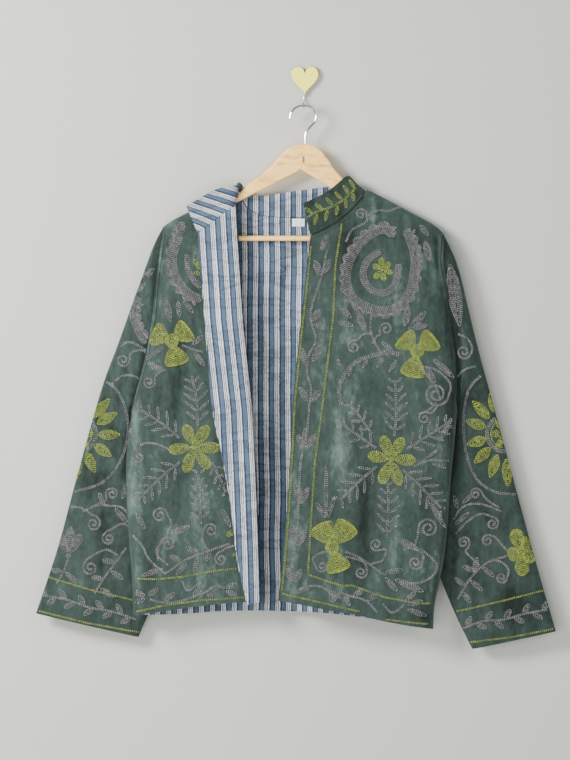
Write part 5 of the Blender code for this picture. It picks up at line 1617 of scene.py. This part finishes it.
def add_welt(name, cloths, line, offset, radius, nap_and_shading, view=-1.0, bridge=0.0):
    """A thin raised seam of velvet that follows a line of squares on the nearest of some cloth pieces.

    Where the line runs over a gap, its depth is that of the cloth the bridge length lower down.
    """
    shapes = bpy.context.evaluated_depsgraph_get()
    grounds = [BVHTree.FromObject(bpy.data.objects[cloth], shapes) for cloth in cloths]
    line = smooth_curve(moved(line, *offset))
    run = run_along(line)
    spots = at_run(np.linspace(0.0, run[-1], int(run[-1] / WELT_STEP) + 2), run, line)
    centres = []
    for x, z in zip(grid_x(spots[:, 0]), grid_z(spots[:, 1])):
        depth = nearest_depth(grounds, x, z, view)
        if depth is None and bridge:
            depth = nearest_depth(grounds, x, z - bridge, view)
        if depth is not None:
            centres.append(Vector((x, depth, z)))
    if len(centres) < WELT_RINGS:
        raise RuntimeError(f"{name} finds no cloth")
    points = []
    for k, centre in enumerate(centres):
        along = (centres[min(k + 1, len(centres) - 1)] - centres[max(k - 1, 0)]).normalized()
        up = Vector((0.0, view, 0.0))
        across = up.cross(along).normalized()
        up = along.cross(across)
        for corner in range(WELT_SIDES):
            turn = 2.0 * math.pi * corner / WELT_SIDES
            points.append(centre + (across * math.cos(turn) + up * math.sin(turn)) * radius)
    faces = []
    for k in range(0, len(points) - WELT_SIDES, WELT_SIDES):
        for corner in range(WELT_SIDES):
            after = (corner + 1) % WELT_SIDES
            faces.append((k + corner, k + after, k + WELT_SIDES + after, k + WELT_SIDES + corner))
    faces.append(tuple(range(WELT_SIDES))[::-1])
    faces.append(tuple(range(len(points) - WELT_SIDES, len(points))))
    mesh = bpy.data.meshes.new(name)
    mesh.from_pydata(points, [], faces)
    mesh.polygons.foreach_set("use_smooth", [True] * len(faces))
    mesh.materials.append(velvet_material())
    mesh.update()
    # Painted highlight or painted shade along the raised seam, by the sign of its value
    set_value(mesh, "nap_and_shading", [nap_and_shading] * len(points))
    made = link_object(name, mesh)
    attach(made, "root")


class SUZANI_OT_welts(Operator):
    """Raise the seams round the armholes and along the collar"""
    bl_idname = "suzani.welts"
    bl_label = "Raised seams"

    def execute(self, context):
        for welt in WELTS:
            add_welt(*welt)
        return {"FINISHED"}


class SUZANI_OT_embroidery(Operator):
    """Sew the chain-stitch embroidery on the fronts, the back, the sleeves and the collar"""
    bl_idname = "suzani.embroidery"
    bl_label = "Embroidery"

    def execute(self, context):
        pieces = bpy.data.objects
        opened = [pieces["lapel_stripes"], pieces["collar_stripes"], pieces["collar_outside"]]
        sew_on("right_front_stitches", pieces["front_right_velvet"], right_front_rows(), covers=opened)
        sew_on("left_front_stitches", pieces["front_left_velvet"], left_front_rows(), covers=opened[2:])
        for side, rows in (("right", right_sleeve_rows()), ("left", left_sleeve_rows())):
            cloth = pieces[f"sleeve_{side}_velvet"]
            fronts = [pieces["front_left_velvet"], pieces["front_right_velvet"]]
            sew_on(f"{side}_sleeve_stitches", cloth, rows, covers=fronts)
            sew_on(f"{side}_sleeve_back_stitches", cloth, rows, 1.0, [pieces["back_velvet"]])
        sew_on("back_stitches", pieces["back_velvet"], back_rows(), 1.0)
        sew_on("collar_stitches", pieces["collar_outside"], collar_rows())
        return {"FINISHED"}


def wall_material(colour):
    """Matt paint that can be seen through from behind."""
    made, tree, shader = new_material("pale_wall")
    set_node(shader, Base_Color=colour, Roughness=0.95, Specular_IOR_Level=0.1)
    either = add_node(tree, "MixShader")
    sources = (add_node(tree, "NewGeometry").outputs["Backfacing"], shader.outputs[0],
               add_node(tree, "BsdfTransparent").outputs[0])
    for slot, source in zip(either.inputs, sources):
        feed(slot, source)
    set_node(tree.nodes["Material Output"], Surface=either.outputs[0])
    return made


class SUZANI_OT_stage(Operator):
    """Make the wall, the floor, the lights and the camera"""
    bl_idname = "suzani.stage"
    bl_label = "Stage"

    def execute(self, context):
        stage = context.scene.suzani_stage
        made = wall_material(stage.wall)
        bpy.ops.object.select_all(action="DESELECT")
        bpy.ops.mesh.primitive_plane_add(size=WALL_SIZE, location=(0.0, 0.0, FLOOR + WALL_SIZE / 2),
                                         rotation=(math.pi / 2, 0.0, 0.0))
        wall = context.object
        wall.name = "wall"
        bpy.ops.mesh.primitive_plane_add(size=WALL_SIZE, location=(0.0, -WALL_SIZE / 2, FLOOR))
        floor = context.object
        floor.name = "floor"
        for surface in (wall, floor):
            surface.data.materials.append(made)
        wall.visible_shadow = False

        for name, place, size, share in LIGHTS:
            light = bpy.data.lights.new(name, "AREA")
            light.shape = "DISK"
            light.size = size
            light.energy = stage.light * share
            lamp = link_object(name, light)
            lamp.location = place
            lamp.rotation_euler = (Vector(LIGHT_TARGET) - Vector(place)).to_track_quat("-Z", "Y").to_euler()

        world = bpy.data.worlds.new("studio")
        world.use_nodes = True
        set_node(world.node_tree.nodes["Background"], Color=WORLD_COLOUR, Strength=WORLD_STRENGTH)
        context.scene.world = world

        camera = bpy.data.cameras.new("camera")
        camera.sensor_fit = "HORIZONTAL"
        camera.angle = 2.0 * math.atan(stage.frame_width / 2.0 / stage.distance)
        holder = link_object("camera", camera)
        holder.location = (grid_x(VIEW_CENTRE[0]), CLOTH_DEPTH - stage.distance, grid_z(VIEW_CENTRE[1]))
        holder.rotation_euler = (math.pi / 2, 0.0, 0.0)
        context.scene.camera = holder
        return {"FINISHED"}


SETTINGS = {"suzani_velvet": VelvetSettings, "suzani_lining": LiningSettings, "suzani_thread": ThreadSettings,
            "suzani_hanger": HangerSettings, "suzani_stage": StageSettings}

# One operator for each piece or group of like pieces, in the order they are run
OPERATORS = (SUZANI_OT_hanger, SUZANI_OT_back, SUZANI_OT_fronts, SUZANI_OT_lapel_lining, SUZANI_OT_sleeves,
             SUZANI_OT_collar, SUZANI_OT_label, SUZANI_OT_welts, SUZANI_OT_embroidery, SUZANI_OT_stage)


class SUZANI_PT_pieces(Panel):
    """Settings and pieces of the jacket"""
    bl_idname = "SUZANI_PT_pieces"
    bl_label = "Suzani jacket"
    bl_space_type = "VIEW_3D"
    bl_region_type = "UI"
    bl_category = "Suzani"

    def draw(self, context):
        for operator in OPERATORS:
            self.layout.operator(operator.bl_idname)
        for name in SETTINGS:
            box = self.layout.box()
            settings = getattr(context.scene, name)
            for label in settings.bl_rna.properties.keys():
                if label not in ("rna_type", "name"):
                    box.prop(settings, label)


def register():
    for cls in (*SETTINGS.values(), *OPERATORS, SUZANI_PT_pieces):
        bpy.utils.register_class(cls)
    for name, cls in SETTINGS.items():
        setattr(bpy.types.Scene, name, PointerProperty(type=cls))


def unregister():
    for name in SETTINGS:
        delattr(bpy.types.Scene, name)
    for cls in (SUZANI_PT_pieces, *reversed(OPERATORS), *SETTINGS.values()):
        bpy.utils.unregister_class(cls)


def main():
    register()
    for operator in OPERATORS:
        group, name = operator.bl_idname.split(".")
        getattr(getattr(bpy.ops, group), name)()


if __name__ == "__main__":
    main()
